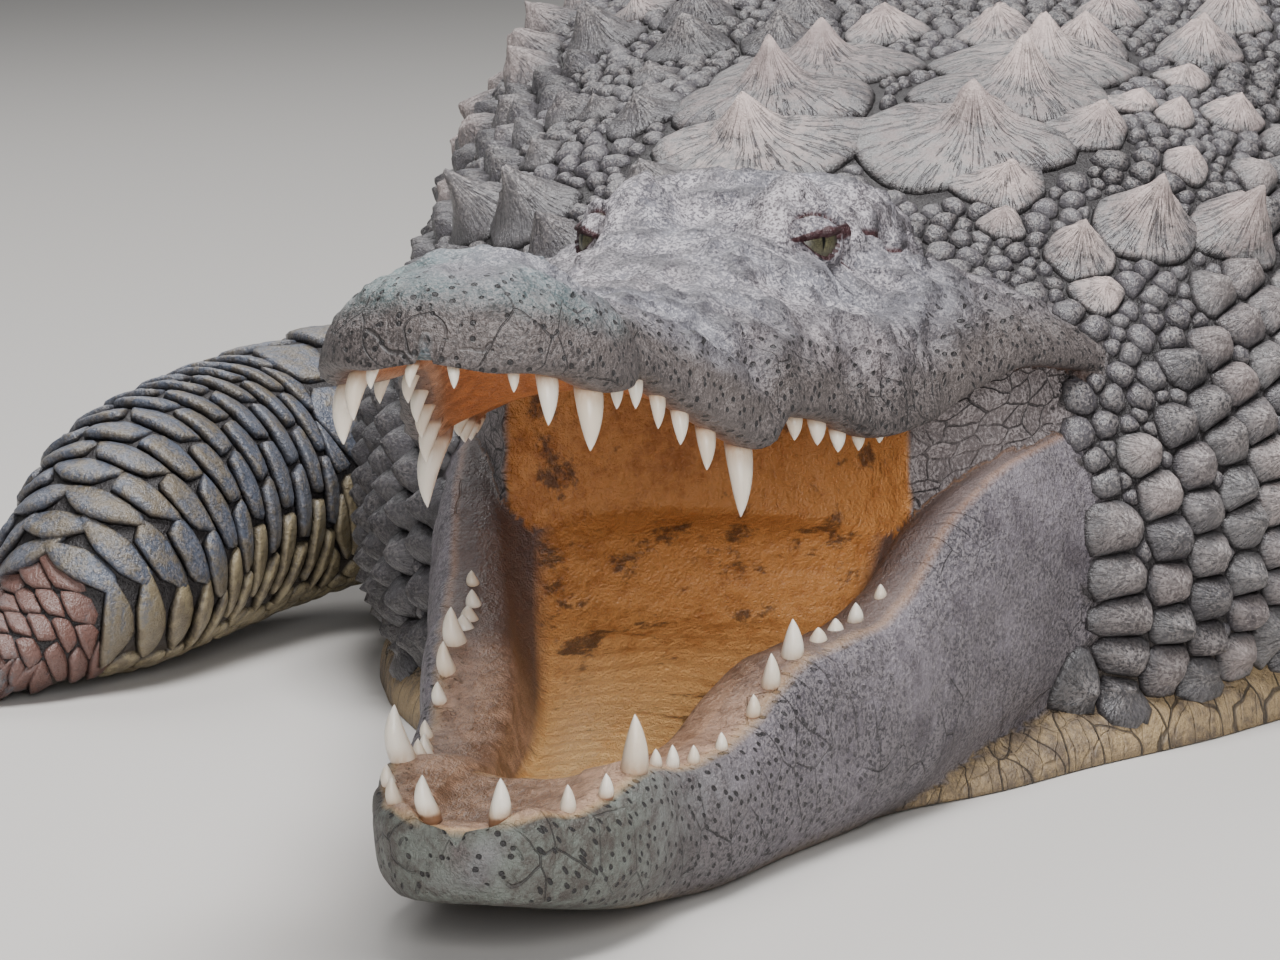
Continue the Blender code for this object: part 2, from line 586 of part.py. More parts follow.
# joints as (behind the jaw tip, left, up, half-width, half-height), from the body out to the wrist
LEGS = {
    "right_fore": dict(
        upper=((1.00, -0.20, 0.145, 0.088, 0.088), (0.90, -0.340, 0.113, 0.084, 0.084), (0.80, -0.425, 0.092, 0.080, 0.084)),
        lower=((0.82, -0.420, 0.093, 0.080, 0.084), (0.70, -0.440, 0.086, 0.076, 0.082), (0.605, -0.462, 0.050, 0.058, 0.052)),
        heading=math.radians(-62), toes=FRONT_TOES, size=1.0, parts=("upper_arm", "forearm", "hand"),
    ),
    "left_fore": dict(
        upper=((1.00, 0.20, 0.160, 0.090, 0.095), (1.09, 0.370, 0.130, 0.085, 0.092), (1.16, 0.480, 0.092, 0.074, 0.082)),
        lower=((1.18, 0.465, 0.090, 0.072, 0.080), (1.08, 0.535, 0.076, 0.068, 0.070), (0.98, 0.580, 0.048, 0.055, 0.048)),
        heading=math.radians(24), toes=FRONT_TOES, size=1.0, parts=("upper_arm", "forearm", "hand"),
    ),
    "right_hind": dict(
        upper=((2.02, -0.14, 0.170, 0.110, 0.120), (1.92, -0.330, 0.150, 0.112, 0.122), (1.80, -0.470, 0.115, 0.086, 0.096)),
        lower=((1.79, -0.455, 0.110, 0.084, 0.092), (1.93, -0.510, 0.084, 0.075, 0.076), (2.04, -0.550, 0.052, 0.054, 0.052)),
        heading=math.radians(-34), toes=HIND_TOES, size=1.15, parts=("thigh", "shin", "foot"),
    ),
    "left_hind": dict(
        upper=((2.02, 0.14, 0.170, 0.110, 0.120), (1.94, 0.330, 0.150, 0.112, 0.122), (1.84, 0.480, 0.115, 0.086, 0.096)),
        lower=((1.83, 0.465, 0.110, 0.084, 0.092), (1.97, 0.520, 0.084, 0.075, 0.076), (2.08, 0.555, 0.052, 0.054, 0.052)),
        heading=math.radians(38), toes=HIND_TOES, size=1.15, parts=("thigh", "shin", "foot"),
    ),
}


def make_leg(name, plan, body):
    """Upper limb cut to the body, lower limb cut to the upper one, and the foot cut to both."""
    side = name.split("_")[0]
    above, below, end = plan["parts"]
    upper = limb(f"{side}_{above}", plan["upper"], 5, 8)
    lower = limb(f"{side}_{below}", plan["lower"], 5, 8)
    foot = make_foot(f"{side}_{end}", plan["lower"][-1], plan["heading"], plan["toes"], plan["size"])
    upper_cutter, lower_cutter = swollen(upper), swollen(lower)
    cut(upper, body)
    cut(lower, (upper_cutter, *body))
    cut(foot, (lower_cutter, upper_cutter, *body))


# ---------------------------------------------------------------- the whole animal
def make_crocodile():
    skull, throat, jaw, cheeks = make_skull(), make_throat(), make_lower_jaw(), make_cheeks()
    neck = make_length("neck", NECK, SHOULDER, 0.042)
    trunk = make_length("trunk", SHOULDER, HIP, 0.084)
    row = (TAIL_TIP - HIP) / TAIL_ROWS
    tail_cuts = [HIP + row * k for k in (0, 8, 16, TAIL_ROWS)]
    tail = [
        make_length(name, start, end, row / 2)
        for name, start, end in zip(("tail_base", "tail_middle", "tail_end"), tail_cuts, tail_cuts[1:])
    ]
    solids = (skull, throat, jaw, cheeks, neck, trunk, tail[0])
    skull_cut, throat_cut, jaw_cut, cheek_cut, neck_cut, trunk_cut, tail_cut = map(swollen, solids)
    for name, side in (("left_eye", 1), ("right_eye", -1)):
        make_eye(name, side, skull_cut)
    cut(jaw, (skull_cut, throat_cut))
    cut(cheeks, (skull_cut, throat_cut, jaw_cut))
    cut(neck, (skull_cut, throat_cut, jaw_cut, cheek_cut))
    for name, plan in LEGS.items():
        make_leg(name, plan, (neck_cut, trunk_cut) if "fore" in name else (trunk_cut, tail_cut))


for old in list(bpy.data.objects):
    bpy.data.objects.remove(old)
make_crocodile()
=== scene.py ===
"""The looks of a life-size Nile crocodile, lying with its jaws wide open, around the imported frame.

Metres, +X towards the snout, +Y to the animal's left, +Z up. The head is worked out in the lower jaw's own
frame: the distance back from the jaw's tip, then left, then up from a level tooth row. The body is worked
out along the spine: the distance behind the jaw's tip, and the girth from the ridge of the back.
"""

import math

import bpy
import numpy as np
from mathutils import Matrix, Vector


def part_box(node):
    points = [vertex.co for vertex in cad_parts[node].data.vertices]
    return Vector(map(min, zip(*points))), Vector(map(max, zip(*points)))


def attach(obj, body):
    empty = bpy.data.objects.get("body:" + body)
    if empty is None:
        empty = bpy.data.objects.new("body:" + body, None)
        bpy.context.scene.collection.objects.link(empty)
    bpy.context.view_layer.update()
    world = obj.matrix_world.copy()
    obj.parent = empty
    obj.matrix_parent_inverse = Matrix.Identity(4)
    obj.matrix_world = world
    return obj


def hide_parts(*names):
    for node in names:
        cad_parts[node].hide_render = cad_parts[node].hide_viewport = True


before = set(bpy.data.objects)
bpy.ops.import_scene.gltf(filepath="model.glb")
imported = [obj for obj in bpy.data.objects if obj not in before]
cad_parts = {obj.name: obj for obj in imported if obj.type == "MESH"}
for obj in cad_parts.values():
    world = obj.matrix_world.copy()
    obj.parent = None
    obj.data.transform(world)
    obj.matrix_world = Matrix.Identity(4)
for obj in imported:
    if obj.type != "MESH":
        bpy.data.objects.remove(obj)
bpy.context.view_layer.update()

# ------------------------------------------------------------------ upper jaw and skull
# The skull is a long box of bone under thin skin: a bulbous snout tip, a festooned lip with a roll of gum
# inside it, raised brows, and a flat table behind them. It is tipped up about the hinge of the jaws.

SHOULDER = 1.00
NOSE_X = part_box("trunk")[1].x + SHOULDER
JAW_LENGTH = 0.64
JAW_SLOPE = math.radians(7)
JAW_SINK = 0.010
HINGE_HEIGHT = 0.10
GAPE = math.radians(19.5)

SKULL_HALF_WIDTH = (
    (-0.032, 0.006), (-0.024, 0.036), (-0.005, 0.057), (0.03, 0.073), (0.06, 0.075), (0.10, 0.065),
    (0.14, 0.072), (0.19, 0.088), (0.235, 0.099), (0.27, 0.104), (0.36, 0.125), (0.45, 0.150), (0.55, 0.178),
    (0.63, 0.192), (0.665, 0.178),
)
SKULL_TOP = (
    (-0.032, 0.108), (-0.022, 0.128), (0.01, 0.142), (0.06, 0.146), (0.12, 0.138), (0.22, 0.146),
    (0.32, 0.168), (0.40, 0.196), (0.47, 0.212), (0.56, 0.205), (0.63, 0.185), (0.665, 0.165),
)
UPPER_LIP = (
    (-0.032, 0.0965), (-0.022, 0.093), (0.0, 0.0925), (0.035, 0.087), (0.07, 0.091), (0.105, 0.099),
    (0.14, 0.092), (0.19, 0.078), (0.226, 0.071), (0.258, 0.090), (0.30, 0.091), (0.35, 0.085), (0.40, 0.094),
    (0.45, 0.116), (0.52, 0.136), (0.58, 0.138), (0.665, 0.125),
)
PALATE_RISE = ((-0.032, 0.002), (0.02, 0.010), (0.15, 0.018), (0.40, 0.026), (0.52, 0.006), (0.665, 0.004))
SKULL_SQUARENESS = (
    (-0.032, 2.3), (0.05, 2.4), (0.12, 2.2), (0.25, 2.2), (0.36, 1.95), (0.43, 1.8), (0.50, 1.8),
    (0.665, 2.1),
)
TABLE_FRONT, TABLE_BACK, TABLE_HALF_WIDTH, TABLE_TOP = 0.462, 0.575, 0.080, 0.240
EYE = np.array((0.431, 0.055, 0.191))
EYE_RADIUS = 0.019
EYE_FACING = np.array((-0.42, 0.86, 0.16))
OPENING_MIDDLE, OPENING_BEHIND, OPENING_AHEAD, OPENING_HEIGHT = 0.006, 0.0110, 0.0160, 0.0120
LID_THICKNESS, RIM_RAISED, UPPER_RIM_RAISED, FOLD_DEPTH, BROW_RAISED = 0.0020, 0.0012, 0.0016, 0.0030, 0.0050
EYE_SUNK = 0.0045
# (place along the jaw, place across, length, base radius) of each tooth on the left
UPPER_TEETH = (
    (-0.019, 0.010, 0.012, 0.0036), (-0.004, 0.035, 0.012, 0.0036), (0.011, 0.047, 0.026, 0.0065),
    (0.036, 0.060, 0.033, 0.0085), (0.080, 0.060, 0.015, 0.0045), (0.117, 0.058, 0.017, 0.0050),
    (0.143, 0.062, 0.019, 0.0050), (0.166, 0.067, 0.019, 0.0055), (0.193, 0.073, 0.023, 0.0062),
    (0.226, 0.081, 0.040, 0.0085), (0.259, 0.088, 0.011, 0.0045), (0.286, 0.093, 0.015, 0.0056),
    (0.313, 0.098, 0.015, 0.0060), (0.337, 0.103, 0.013, 0.0055), (0.361, 0.108, 0.010, 0.0045),
    (0.385, 0.113, 0.009, 0.0040), (0.404, 0.118, 0.007, 0.0035),
)


def profile(stations, x):
    """A smooth curve through (place, value) stations that never overshoots: cubic spans whose slope at
    each station is the harmonic mean of the slopes beside it."""
    px, py = (np.array(v, float) for v in zip(*stations))
    step = np.diff(px)
    slope = np.diff(py) / step
    tangent = np.zeros(len(px))
    a, b = 2 * step[1:] + step[:-1], step[1:] + 2 * step[:-1]
    with np.errstate(divide="ignore", invalid="ignore"):
        mean = (a + b) / (a / slope[:-1] + b / slope[1:])
    tangent[1:-1] = np.where(slope[:-1] * slope[1:] > 0, mean, 0.0)
    tangent[0], tangent[-1] = slope[0], slope[-1]
    x = np.clip(np.asarray(x, float), px[0], px[-1])
    i = np.clip(np.searchsorted(px, x) - 1, 0, len(px) - 2)
    t = (x - px[i]) / step[i]
    return (
        py[i] * (1 + 2 * t) * (1 - t) ** 2
        + tangent[i] * step[i] * t * (1 - t) ** 2
        + py[i + 1] * t * t * (3 - 2 * t)
        - tangent[i + 1] * step[i] * t * t * (1 - t)
    )


def bump(distance, radius):
    """1 at the middle, falling smoothly to 0 at the radius."""
    return np.clip(1 - (distance / radius) ** 2, 0, 1) ** 2


def bell(distance, width, power=2):
    """1 at no distance, falling off both ways in a bell that passes 1/e at the width."""
    return np.exp(-((distance / width) ** power))


def step_up(x, low, high):
    """0 below low, 1 above high, and an S curve between them."""
    t = np.clip((x - low) / (high - low), 0, 1)
    return t * t * (3 - 2 * t)


def lumps(points, size, seed=0):
    """Smooth noise from -1 to 1 over space: random values on a lattice of the given size, eased between."""
    p = np.asarray(points) / size + seed * 7.31
    cell = np.floor(p)
    f = p - cell
    f = f * f * (3 - 2 * f)
    total = 0.0
    for corner in np.ndindex(2, 2, 2):
        q = cell + corner
        wave = np.sin(q[..., 0] * 127.1 + q[..., 1] * 311.7 + q[..., 2] * 74.7 + seed) * 43758.5453
        share = np.prod(np.where(np.array(corner) == 1, f, 1 - f), axis=-1)
        total = total + share * (2 * (wave - np.floor(wave)) - 1)
    return total


def spread(*spans):
    """Places from (start, end, step) spans that follow each other."""
    runs = [np.arange(start, end - step / 2, step) for start, end, step in spans]
    return np.concatenate([*runs, [spans[-1][1]]])


def grid_normals(points):
    """The outward direction at each point of a grid, from its neighbours both ways."""
    cross = np.cross(np.gradient(points, axis=0), np.gradient(points, axis=1))
    return cross / np.maximum(np.linalg.norm(cross, axis=-1, keepdims=True), 1e-12)


def lifted(points):
    """Turns points of the closed skull up about the jaw hinge, in the jaw's own frame."""
    x, z = points[..., 0] - JAW_LENGTH, points[..., 2] - HINGE_HEIGHT
    return np.stack(
        (
            JAW_LENGTH + x * math.cos(GAPE) + z * math.sin(GAPE),
            points[..., 1],
            HINGE_HEIGHT - x * math.sin(GAPE) + z * math.cos(GAPE),
        ),
        -1,
    )


def in_world(points):
    """Points given as (distance behind the jaw tip, left, up), placed in the model's frame."""
    return np.stack((NOSE_X - points[..., 0], points[..., 1], points[..., 2]), -1)


def jaw_in_world(points):
    """Points of the lower jaw's own frame, sloped as the jaw lies and kept off the floor."""
    x, z = points[..., 0], points[..., 2] - JAW_SINK
    return in_world(
        np.stack(
            (
                x * math.cos(JAW_SLOPE) - z * math.sin(JAW_SLOPE),
                points[..., 1],
                np.maximum(x * math.sin(JAW_SLOPE) + z * math.cos(JAW_SLOPE), 0.0004),
            ),
            -1,
        )
    )


MARKS = (
    "lie_x", "lie_y", "mouth", "gum", "pores", "lid", "upper", "lower", "belly", "wrinkles", "hollow",
    "scaled",
)


def loft(points, **marks):
    """A closed skin over a grid of points that is a loop the second way, with a fan over each end.
    marks gives a value for each grid point under any of the names, and the others are 0."""
    n, m = points.shape[:2]
    at = np.arange(n * m).reshape(n, m)
    after = np.roll(at, -1, axis=1)
    quads = np.stack((at[:-1], after[:-1], after[1:], at[1:]), -1).reshape(-1, 4)
    first_fan = np.stack((after[0], at[0], np.full(m, n * m)), -1)
    last_fan = np.stack((at[-1], after[-1], np.full(m, n * m + 1)), -1)
    ends = np.stack((points[0].mean(0), points[-1].mean(0)))
    values = {k: np.append(np.broadcast_to(marks.get(k, 0.0), (n, m)).ravel(), (0, 0)) for k in MARKS}
    return {
        "points": np.concatenate((points.reshape(-1, 3), ends)),
        "quads": quads,
        "fans": np.concatenate((first_fan, last_fan)),
        "marks": values,
    }


def length_round(grid, sweep):
    """How far each point of a grid lies from the midline above, along its ring: down the left side where
    the sweep is positive, and down the right where it is negative."""
    run = np.cumsum(np.linalg.norm(np.diff(grid, axis=1, prepend=grid[:, :1]), axis=-1), axis=1)
    return np.where(sweep < 0, run[:, -1:] + 0.001 - run, run)


def eye_ways():
    """The directions out of the left eye, forward along its opening, and up across it."""
    out = EYE_FACING / np.linalg.norm(EYE_FACING)
    along = np.cross((0, 0, 1), out)
    along /= np.linalg.norm(along)
    return out, along, np.cross(out, along)


def ear_slit(x, side):
    """1 along the slit that runs back from the eye to the ear, and 0 beside it."""
    along = step_up(x, 0.452, 0.470) * (1 - step_up(x, 0.560, 0.585))
    return bell(side - 0.076 - (x - 0.46) * 0.22, 0.0034) * along


def skull_relief(x, y):
    """How far nostrils, brows, ridges, the flat skull table and the slit of the ear stand over the dome."""
    side = np.abs(y)
    nostrils = 0.010 * bump(np.hypot(x - 0.052, y), 0.052)
    nostrils -= 0.007 * bump(np.hypot(x - 0.050, side - 0.013), 0.009)
    brow = 0.026 * bump(np.hypot((x - 0.430) * 0.7, side - 0.046), 0.032)
    hollow = 0.016 * bump(np.hypot((x - 0.428) * 0.7, side - 0.094), 0.032)
    hollow = hollow + 0.005 * bump(np.hypot((x - 0.435) * 0.6, y), 0.030)
    ridge = 0.008 * bump(np.hypot((x - 0.355) * 0.6, side - 0.034), 0.030)
    across = 1 / (1 + np.exp((side - TABLE_HALF_WIDTH) / 0.004))
    along = 1 / (1 + np.exp((TABLE_FRONT - x) / 0.012)) / (1 + np.exp((x - TABLE_BACK) / 0.007))
    table = np.maximum(TABLE_TOP - profile(SKULL_TOP, x), 0) * across * along
    return nostrils + brow - hollow + ridge + table - 0.008 * ear_slit(x, side)


def skull_surface(x, t):
    """The closed upper jaw. Over the top, t from 0 on the ridge to 1 at the lip, it is a squared oval with
    relief. From 1 to 2 a roll of gum turns in under the lip and the arched palate runs to the midline.
    Negative t is the right side."""
    side, t = np.sign(t), np.abs(t)
    half, top, lip = (profile(table, x) for table in (SKULL_HALF_WIDTH, SKULL_TOP, UPPER_LIP))
    power = 2 / profile(SKULL_SQUARENESS, x)
    over = np.clip(t, 0, 1) * math.pi / 2
    y = half * np.sin(over) ** power
    z = lip + (top - lip) * np.abs(np.cos(over)) ** power
    z = z + skull_relief(x, y) * np.clip((z - lip) / (top - lip) * 1.6, 0, 1)
    for place, _, _, radius in UPPER_TEETH:
        socket = bell(x - place, radius + 0.003) * bell(z - lip, 0.016)
        y = y + (0.0010 + 0.22 * radius) * socket
    gum = np.minimum(0.022, half * 0.4)
    under = np.clip((t - 1) / 0.35, 0, 1)
    inward = np.clip((t - 1.35) / 0.65, 0, 1)
    y = np.where(t > 1, (half - gum * (1 - np.cos(math.pi * under)) / 2) - (half - gum) * inward, y)
    roof = 0.004 * under + profile(PALATE_RISE, x) * (1 - (1 - inward) ** 2)
    roof = lip - 0.005 * np.sin(math.pi * under) + roof * step_up(x, -0.027, -0.006)
    return np.stack((x + 0 * t, side * y, np.where(t > 1, roof, z)), -1)


def around_the_eye(points):
    """Wraps the skin over the eyeball as two lids with an almond opening, under a thick brow, and returns
    the points with a mark that is 1 on the rims of the lids."""
    side = np.where(points[..., 1:2] < 0, -1.0, 1.0)
    mirror = np.concatenate((np.ones_like(side), side, np.ones_like(side)), -1)
    local = points * mirror - EYE
    out, along, up = eye_ways()
    p, q, r = local @ along, local @ up, local @ out
    reach = np.linalg.norm(local, axis=-1)
    across = (p - OPENING_MIDDLE) / np.where(p < OPENING_MIDDLE, OPENING_BEHIND, OPENING_AHEAD)
    rim_above = 0.0009 - 0.16 * p
    rim_below = OPENING_HEIGHT * np.clip(1 - np.abs(across) ** 2.5, -0.6, 1) - 0.0003
    opening = np.minimum(rim_above - q, q + rim_below)
    fold = q - (0.0140 - np.where(p < 0.0135, 20, 62) * (p - 0.0135) ** 2)
    lid = EYE_RADIUS + LID_THICKNESS + RIM_RAISED * bell(opening, 0.0014)
    lid = lid + UPPER_RIM_RAISED * bell(q - rim_above - 0.0016, 0.0018) * step_up(p, -0.024, -0.016)
    lid = lid - FOLD_DEPTH * bell(fold, 0.0014) + BROW_RAISED * step_up(fold, 0.0002, 0.0048)
    lid = lid + 0.0010 * bell(q + 0.0150, 0.0014)
    goal = lid + (EYE_RADIUS - EYE_SUNK - lid) * step_up(opening, -0.0008, 0.0016)
    near = step_up(r / np.maximum(reach, 1e-9), 0.30, 0.55) * (1 - step_up(reach, 0.036, 0.048))
    wrapped = local * (goal / np.maximum(reach, 1e-9))[..., None]
    blend = (near * (1 - step_up(reach - goal, 0.015, 0.028)))[..., None]
    moved = (local + (wrapped - local) * blend + EYE) * mirror
    upper_rim = bell(q - rim_above - 0.0016, 0.0017, 4)
    upper_rim = upper_rim * step_up(p, -0.022, -0.016) * (1 - step_up(p, 0.026, 0.032))
    rim = np.maximum(bell(opening + 0.0008, 0.0018), upper_rim)
    rim = np.maximum(rim, 0.8 * bell(fold, 0.0014))
    return moved, rim * near


flesh = []
sweep = spread(
    (0.0, 0.14, 0.020), (0.14, 0.42, 0.0056), (0.42, 0.56, 0.014), (0.56, 0.96, 0.025), (0.96, 1.36, 0.033),
    (1.36, 2.0, 0.08),
)
sweep = np.concatenate((sweep, -sweep[-2:0:-1]))
places = spread(
    (-0.032, -0.014, 0.0015), (-0.014, 0.386, 0.0050), (0.386, 0.478, 0.0012), (0.478, 0.585, 0.0026),
    (0.585, 0.665, 0.005),
)
skull = skull_surface(places[:, None], sweep[None, :])
outside = np.broadcast_to(np.abs(sweep) <= 1, skull.shape[:2])
girth = length_round(skull, sweep)
rough = np.where(outside, step_up(skull[..., 2] - profile(UPPER_LIP, places)[:, None], 0.004, 0.030), 0)
rough = rough * (0.6 + 0.4 * step_up(places, 0.08, 0.2))[:, None]
rough = rough * step_up(np.linalg.norm(np.abs(skull) - EYE, axis=-1), 0.026, 0.046)
bony = 0.0085 * (np.abs(lumps(skull, 0.024, 1)) - 0.25) + 0.0055 * (np.abs(lumps(skull, 0.0135, 2)) - 0.25)
bony = bony + 0.0012 * lumps(skull, 0.0075, 3)
slit = ear_slit(skull[..., 0], np.abs(skull[..., 1])) * outside
skull = skull - grid_normals(skull) * (rough * bony)[..., None]
skull, rim = around_the_eye(skull)
lip_side = np.abs(sweep)[None, :] * np.ones((len(places), 1))
height_over_lip = np.where(outside, skull[..., 2] - profile(UPPER_LIP, places)[:, None], 0)
flesh.append(
    loft(
        jaw_in_world(lifted(skull)),
        lie_x=places[:, None],
        lie_y=girth,
        mouth=step_up(lip_side, 1.16, 1.30) * step_up(places, -0.022, -0.012)[:, None],
        gum=0.7 * bell(lip_side - 1.27, 0.09) * step_up(places, -0.022, -0.012)[:, None],
        # the hollow mark picks out the dips of the bony lumps, where painted shade goes
        hollow=np.clip(0.5 - bony / 0.011, 0, 1) * rough,
        pores=np.exp(-np.maximum(height_over_lip - 0.012, 0) / 0.022) * (1 - step_up(lip_side, 1.16, 1.30)),
        lid=np.maximum(rim, 0.9 * slit**5),
        upper=1.0,
    )
)

# ------------------------------------------------------------------ lower jaw
# Two rami of bone in smooth skin meet at the chin, and between them lie the floor of the mouth and the
# flat tongue. The bottom is flat where it rests on the floor.

JAW_HALF_WIDTH = (
    (0.0, 0.008), (0.006, 0.027), (0.03, 0.051), (0.06, 0.065), (0.10, 0.074), (0.13, 0.076), (0.18, 0.091),
    (0.25, 0.107), (0.32, 0.130), (0.42, 0.158), (0.52, 0.184), (0.60, 0.199), (0.665, 0.190),
)
LOWER_GUM = (
    (0.0, 0.080), (0.016, 0.085), (0.04, 0.079), (0.10, 0.080), (0.16, 0.063), (0.20, 0.062), (0.25, 0.075),
    (0.28, 0.081), (0.34, 0.078), (0.38, 0.086), (0.43, 0.112), (0.50, 0.124), (0.60, 0.120), (0.665, 0.105),
)
JAW_BASE = (
    (0.0, 0.058), (0.008, 0.044), (0.03, 0.034), (0.07, 0.018), (0.13, -0.002), (0.19, -0.0155),
    (0.665, -0.0745),
)
SHELF = ((0.0, 0.01), (0.06, 0.032), (0.16, 0.050), (0.30, 0.054), (0.42, 0.044), (0.665, 0.036))
MOUTH_FLOOR = (
    (0.0, 0.079), (0.016, 0.080), (0.045, 0.071), (0.105, 0.073), (0.135, 0.052), (0.20, 0.036),
    (0.30, 0.036), (0.40, 0.058), (0.46, 0.100), (0.665, 0.104),
)
LOWER_TEETH = (
    (0.015, 0.018, 0.020, 0.0066), (0.040, 0.044, 0.015, 0.0052), (0.065, 0.056, 0.012, 0.0048),
    (0.099, 0.060, 0.031, 0.0085), (0.128, 0.062, 0.010, 0.0042), (0.146, 0.065, 0.013, 0.0046),
    (0.163, 0.071, 0.010, 0.0042), (0.186, 0.079, 0.010, 0.0042), (0.226, 0.085, 0.012, 0.0050),
    (0.250, 0.088, 0.019, 0.0062), (0.278, 0.092, 0.023, 0.0076), (0.308, 0.098, 0.010, 0.0065),
    (0.328, 0.102, 0.010, 0.0062), (0.351, 0.107, 0.011, 0.0055), (0.374, 0.115, 0.009, 0.0045),
)


def through(knots, values, t):
    """Smooth curves at t through values at the knots, one curve for each row of values: cubic spans with
    each knot's slope taken from its neighbours."""
    knots = np.array(knots, float)
    slopes = np.gradient(values, knots, axis=-1)
    i = np.clip(np.searchsorted(knots, t) - 1, 0, len(knots) - 2)
    width = knots[i + 1] - knots[i]
    s = (t - knots[i]) / width
    return (
        values[:, i] * (1 + 2 * s) * (1 - s) ** 2
        + slopes[:, i] * width * s * (1 - s) ** 2
        + values[:, i + 1] * s * s * (3 - 2 * s)
        - slopes[:, i + 1] * width * s * s * (1 - s)
    )


def jaw_surface(x, t):
    """The lower jaw, a trough. t runs from 0 under the midline, up the outer side to 1 at the gum's outer
    edge, over the gum and down to 2 on the floor's midline, through points set by the sizes at each x."""
    side, t = np.sign(t), np.abs(t)
    half, base, gum, shelf, floor = (
        profile(table, x) for table in (JAW_HALF_WIDTH, JAW_BASE, LOWER_GUM, SHELF, MOUTH_FLOOR)
    )
    floor = np.minimum(floor, gum - 0.003)
    tall = gum - base
    inner = np.maximum(half - shelf, half * 0.35)
    ledge = half * 0.91 - inner
    tongue = 0.006 * step_up(x, 0.15, 0.24) * (1 - step_up(x, 0.36, 0.42))
    across = (0 * x, 0.55 * half, 0.80 * half, 0.95 * half, half, 0.98 * half, 0.92 * half)
    up = (
        base, base, base + 0.05 * tall, base + 0.25 * tall, base + 0.52 * tall, base + 0.84 * tall,
        gum - 0.002,
    )
    across += (inner + 0.60 * ledge, inner + 0.08 * ledge, inner * 0.93, inner * 0.80, inner * 0.42, 0 * x)
    up += (
        gum + 0.003, gum - 0.0005, 0.55 * gum + 0.45 * floor, floor + 0.002, floor + 0.6 * tongue,
        floor + tongue,
    )
    knots = (0, 0.25, 0.40, 0.56, 0.74, 0.90, 1.0, 1.12, 1.24, 1.40, 1.55, 1.75, 2.0)
    y = np.maximum(through(knots, np.stack(across, -1), t), 0)
    z = through(knots, np.stack(up, -1), t)
    x, half, gum = x[:, None], half[:, None], gum[:, None]
    for place, _, _, radius in LOWER_TEETH:
        socket = bell(x - place, radius + 0.003) * bell(z - gum, 0.014)
        y = y + (0.0008 + 0.22 * radius) * socket * (t < 1.1)
        z = z + 0.16 * radius * socket * bell(t - 1.08, 0.12)
    return np.stack((x + 0 * z, side * y, z), -1)


sweep = spread((0.0, 0.40, 0.080), (0.40, 1.30, 0.022), (1.30, 2.0, 0.040))
sweep = np.concatenate((sweep, -sweep[-2:0:-1]))
places = spread((0.0, 0.03, 0.0020), (0.03, 0.46, 0.0045), (0.46, 0.665, 0.0090))
jaw = jaw_surface(places, sweep)
girth = length_round(jaw, sweep)
level = np.abs(sweep)[None, :] * np.ones((len(places), 1))
firm = step_up(level, 0.40, 0.60) * (1 - step_up(level, 1.15, 1.30))
wavy = firm * (0.0016 * lumps(jaw, 0.030, 4) + 0.0010 * lumps(jaw, 0.012, 5))
wrinkled = step_up(level, 1.5, 1.7) * 0.0008 * np.sin(jaw[..., 0] * 420 + 3 * lumps(jaw, 0.05, 6))
jaw = jaw + grid_normals(jaw) * (wavy + wrinkled)[..., None]
chin, shelf = step_up(places, 0.003, 0.014)[:, None], 1 - step_up(places, 0.100, 0.124)[:, None]
flesh.append(
    loft(
        jaw_in_world(jaw)[:, ::-1],
        lie_x=places[:, None],
        lie_y=girth[:, ::-1],
        mouth=(step_up(level, 1.10, 1.20) * chin)[:, ::-1],
        gum=(step_up(level, 1.02, 1.08) * np.maximum(1 - step_up(level, 1.50, 1.57), shelf) * chin)[:, ::-1],
        pores=(step_up(level, 0.35, 0.55) * (1 - step_up(level, 1.06, 1.14)))[:, ::-1],
        lower=1.0,
        belly=((1 - step_up(level, 0.30, 0.52)) * step_up(places, 0.06, 0.14)[:, None])[:, ::-1],
    )
)

# ------------------------------------------------------------------ cheeks and the back of the mouth
# Behind the corners of the mouth the jaws are joined by muscle under loose folded skin. Inside, this wall
# of flesh shuts the throat.

GULLET_LOW, GULLET_HIGH = 0.06, 0.192


def gullet_surface(rise, turn):
    """The wall between the jaws. For turn from -1 to 1 it crosses the back of the mouth, bowed backwards
    in the middle, and beyond that it runs back along each side, as wide as the jaws above and below."""
    corner = 0.425 + 0.03 * rise
    throat = 0.462 + 0.030 * rise
    back = 0.655 - 0.10 * np.maximum(rise - 0.55, 0) / 0.45

    def half(x):
        """Half the width between the jaws, a blend of both jaws' by the rise."""
        width = profile(JAW_HALF_WIDTH, x) * (1 - rise) + profile(SKULL_HALF_WIDTH, x) * 0.95 * rise
        return width * (0.80 + 0.145 * step_up(x, 0.43, 0.53)) - 0.004 * np.sin(math.pi * rise)

    past = np.clip(np.abs(turn) - 1, 0, 1)
    bowed = throat + (corner - throat) * np.abs(turn) ** 2.4
    x = np.where(np.abs(turn) < 1, bowed, corner + (back - corner) * past)
    y = np.where(np.abs(turn) < 1, turn * half(corner), np.sign(turn) * half(x))
    z = GULLET_LOW + (GULLET_HIGH - GULLET_LOW) * rise + 0 * turn
    return np.stack((x, y, z), -1)


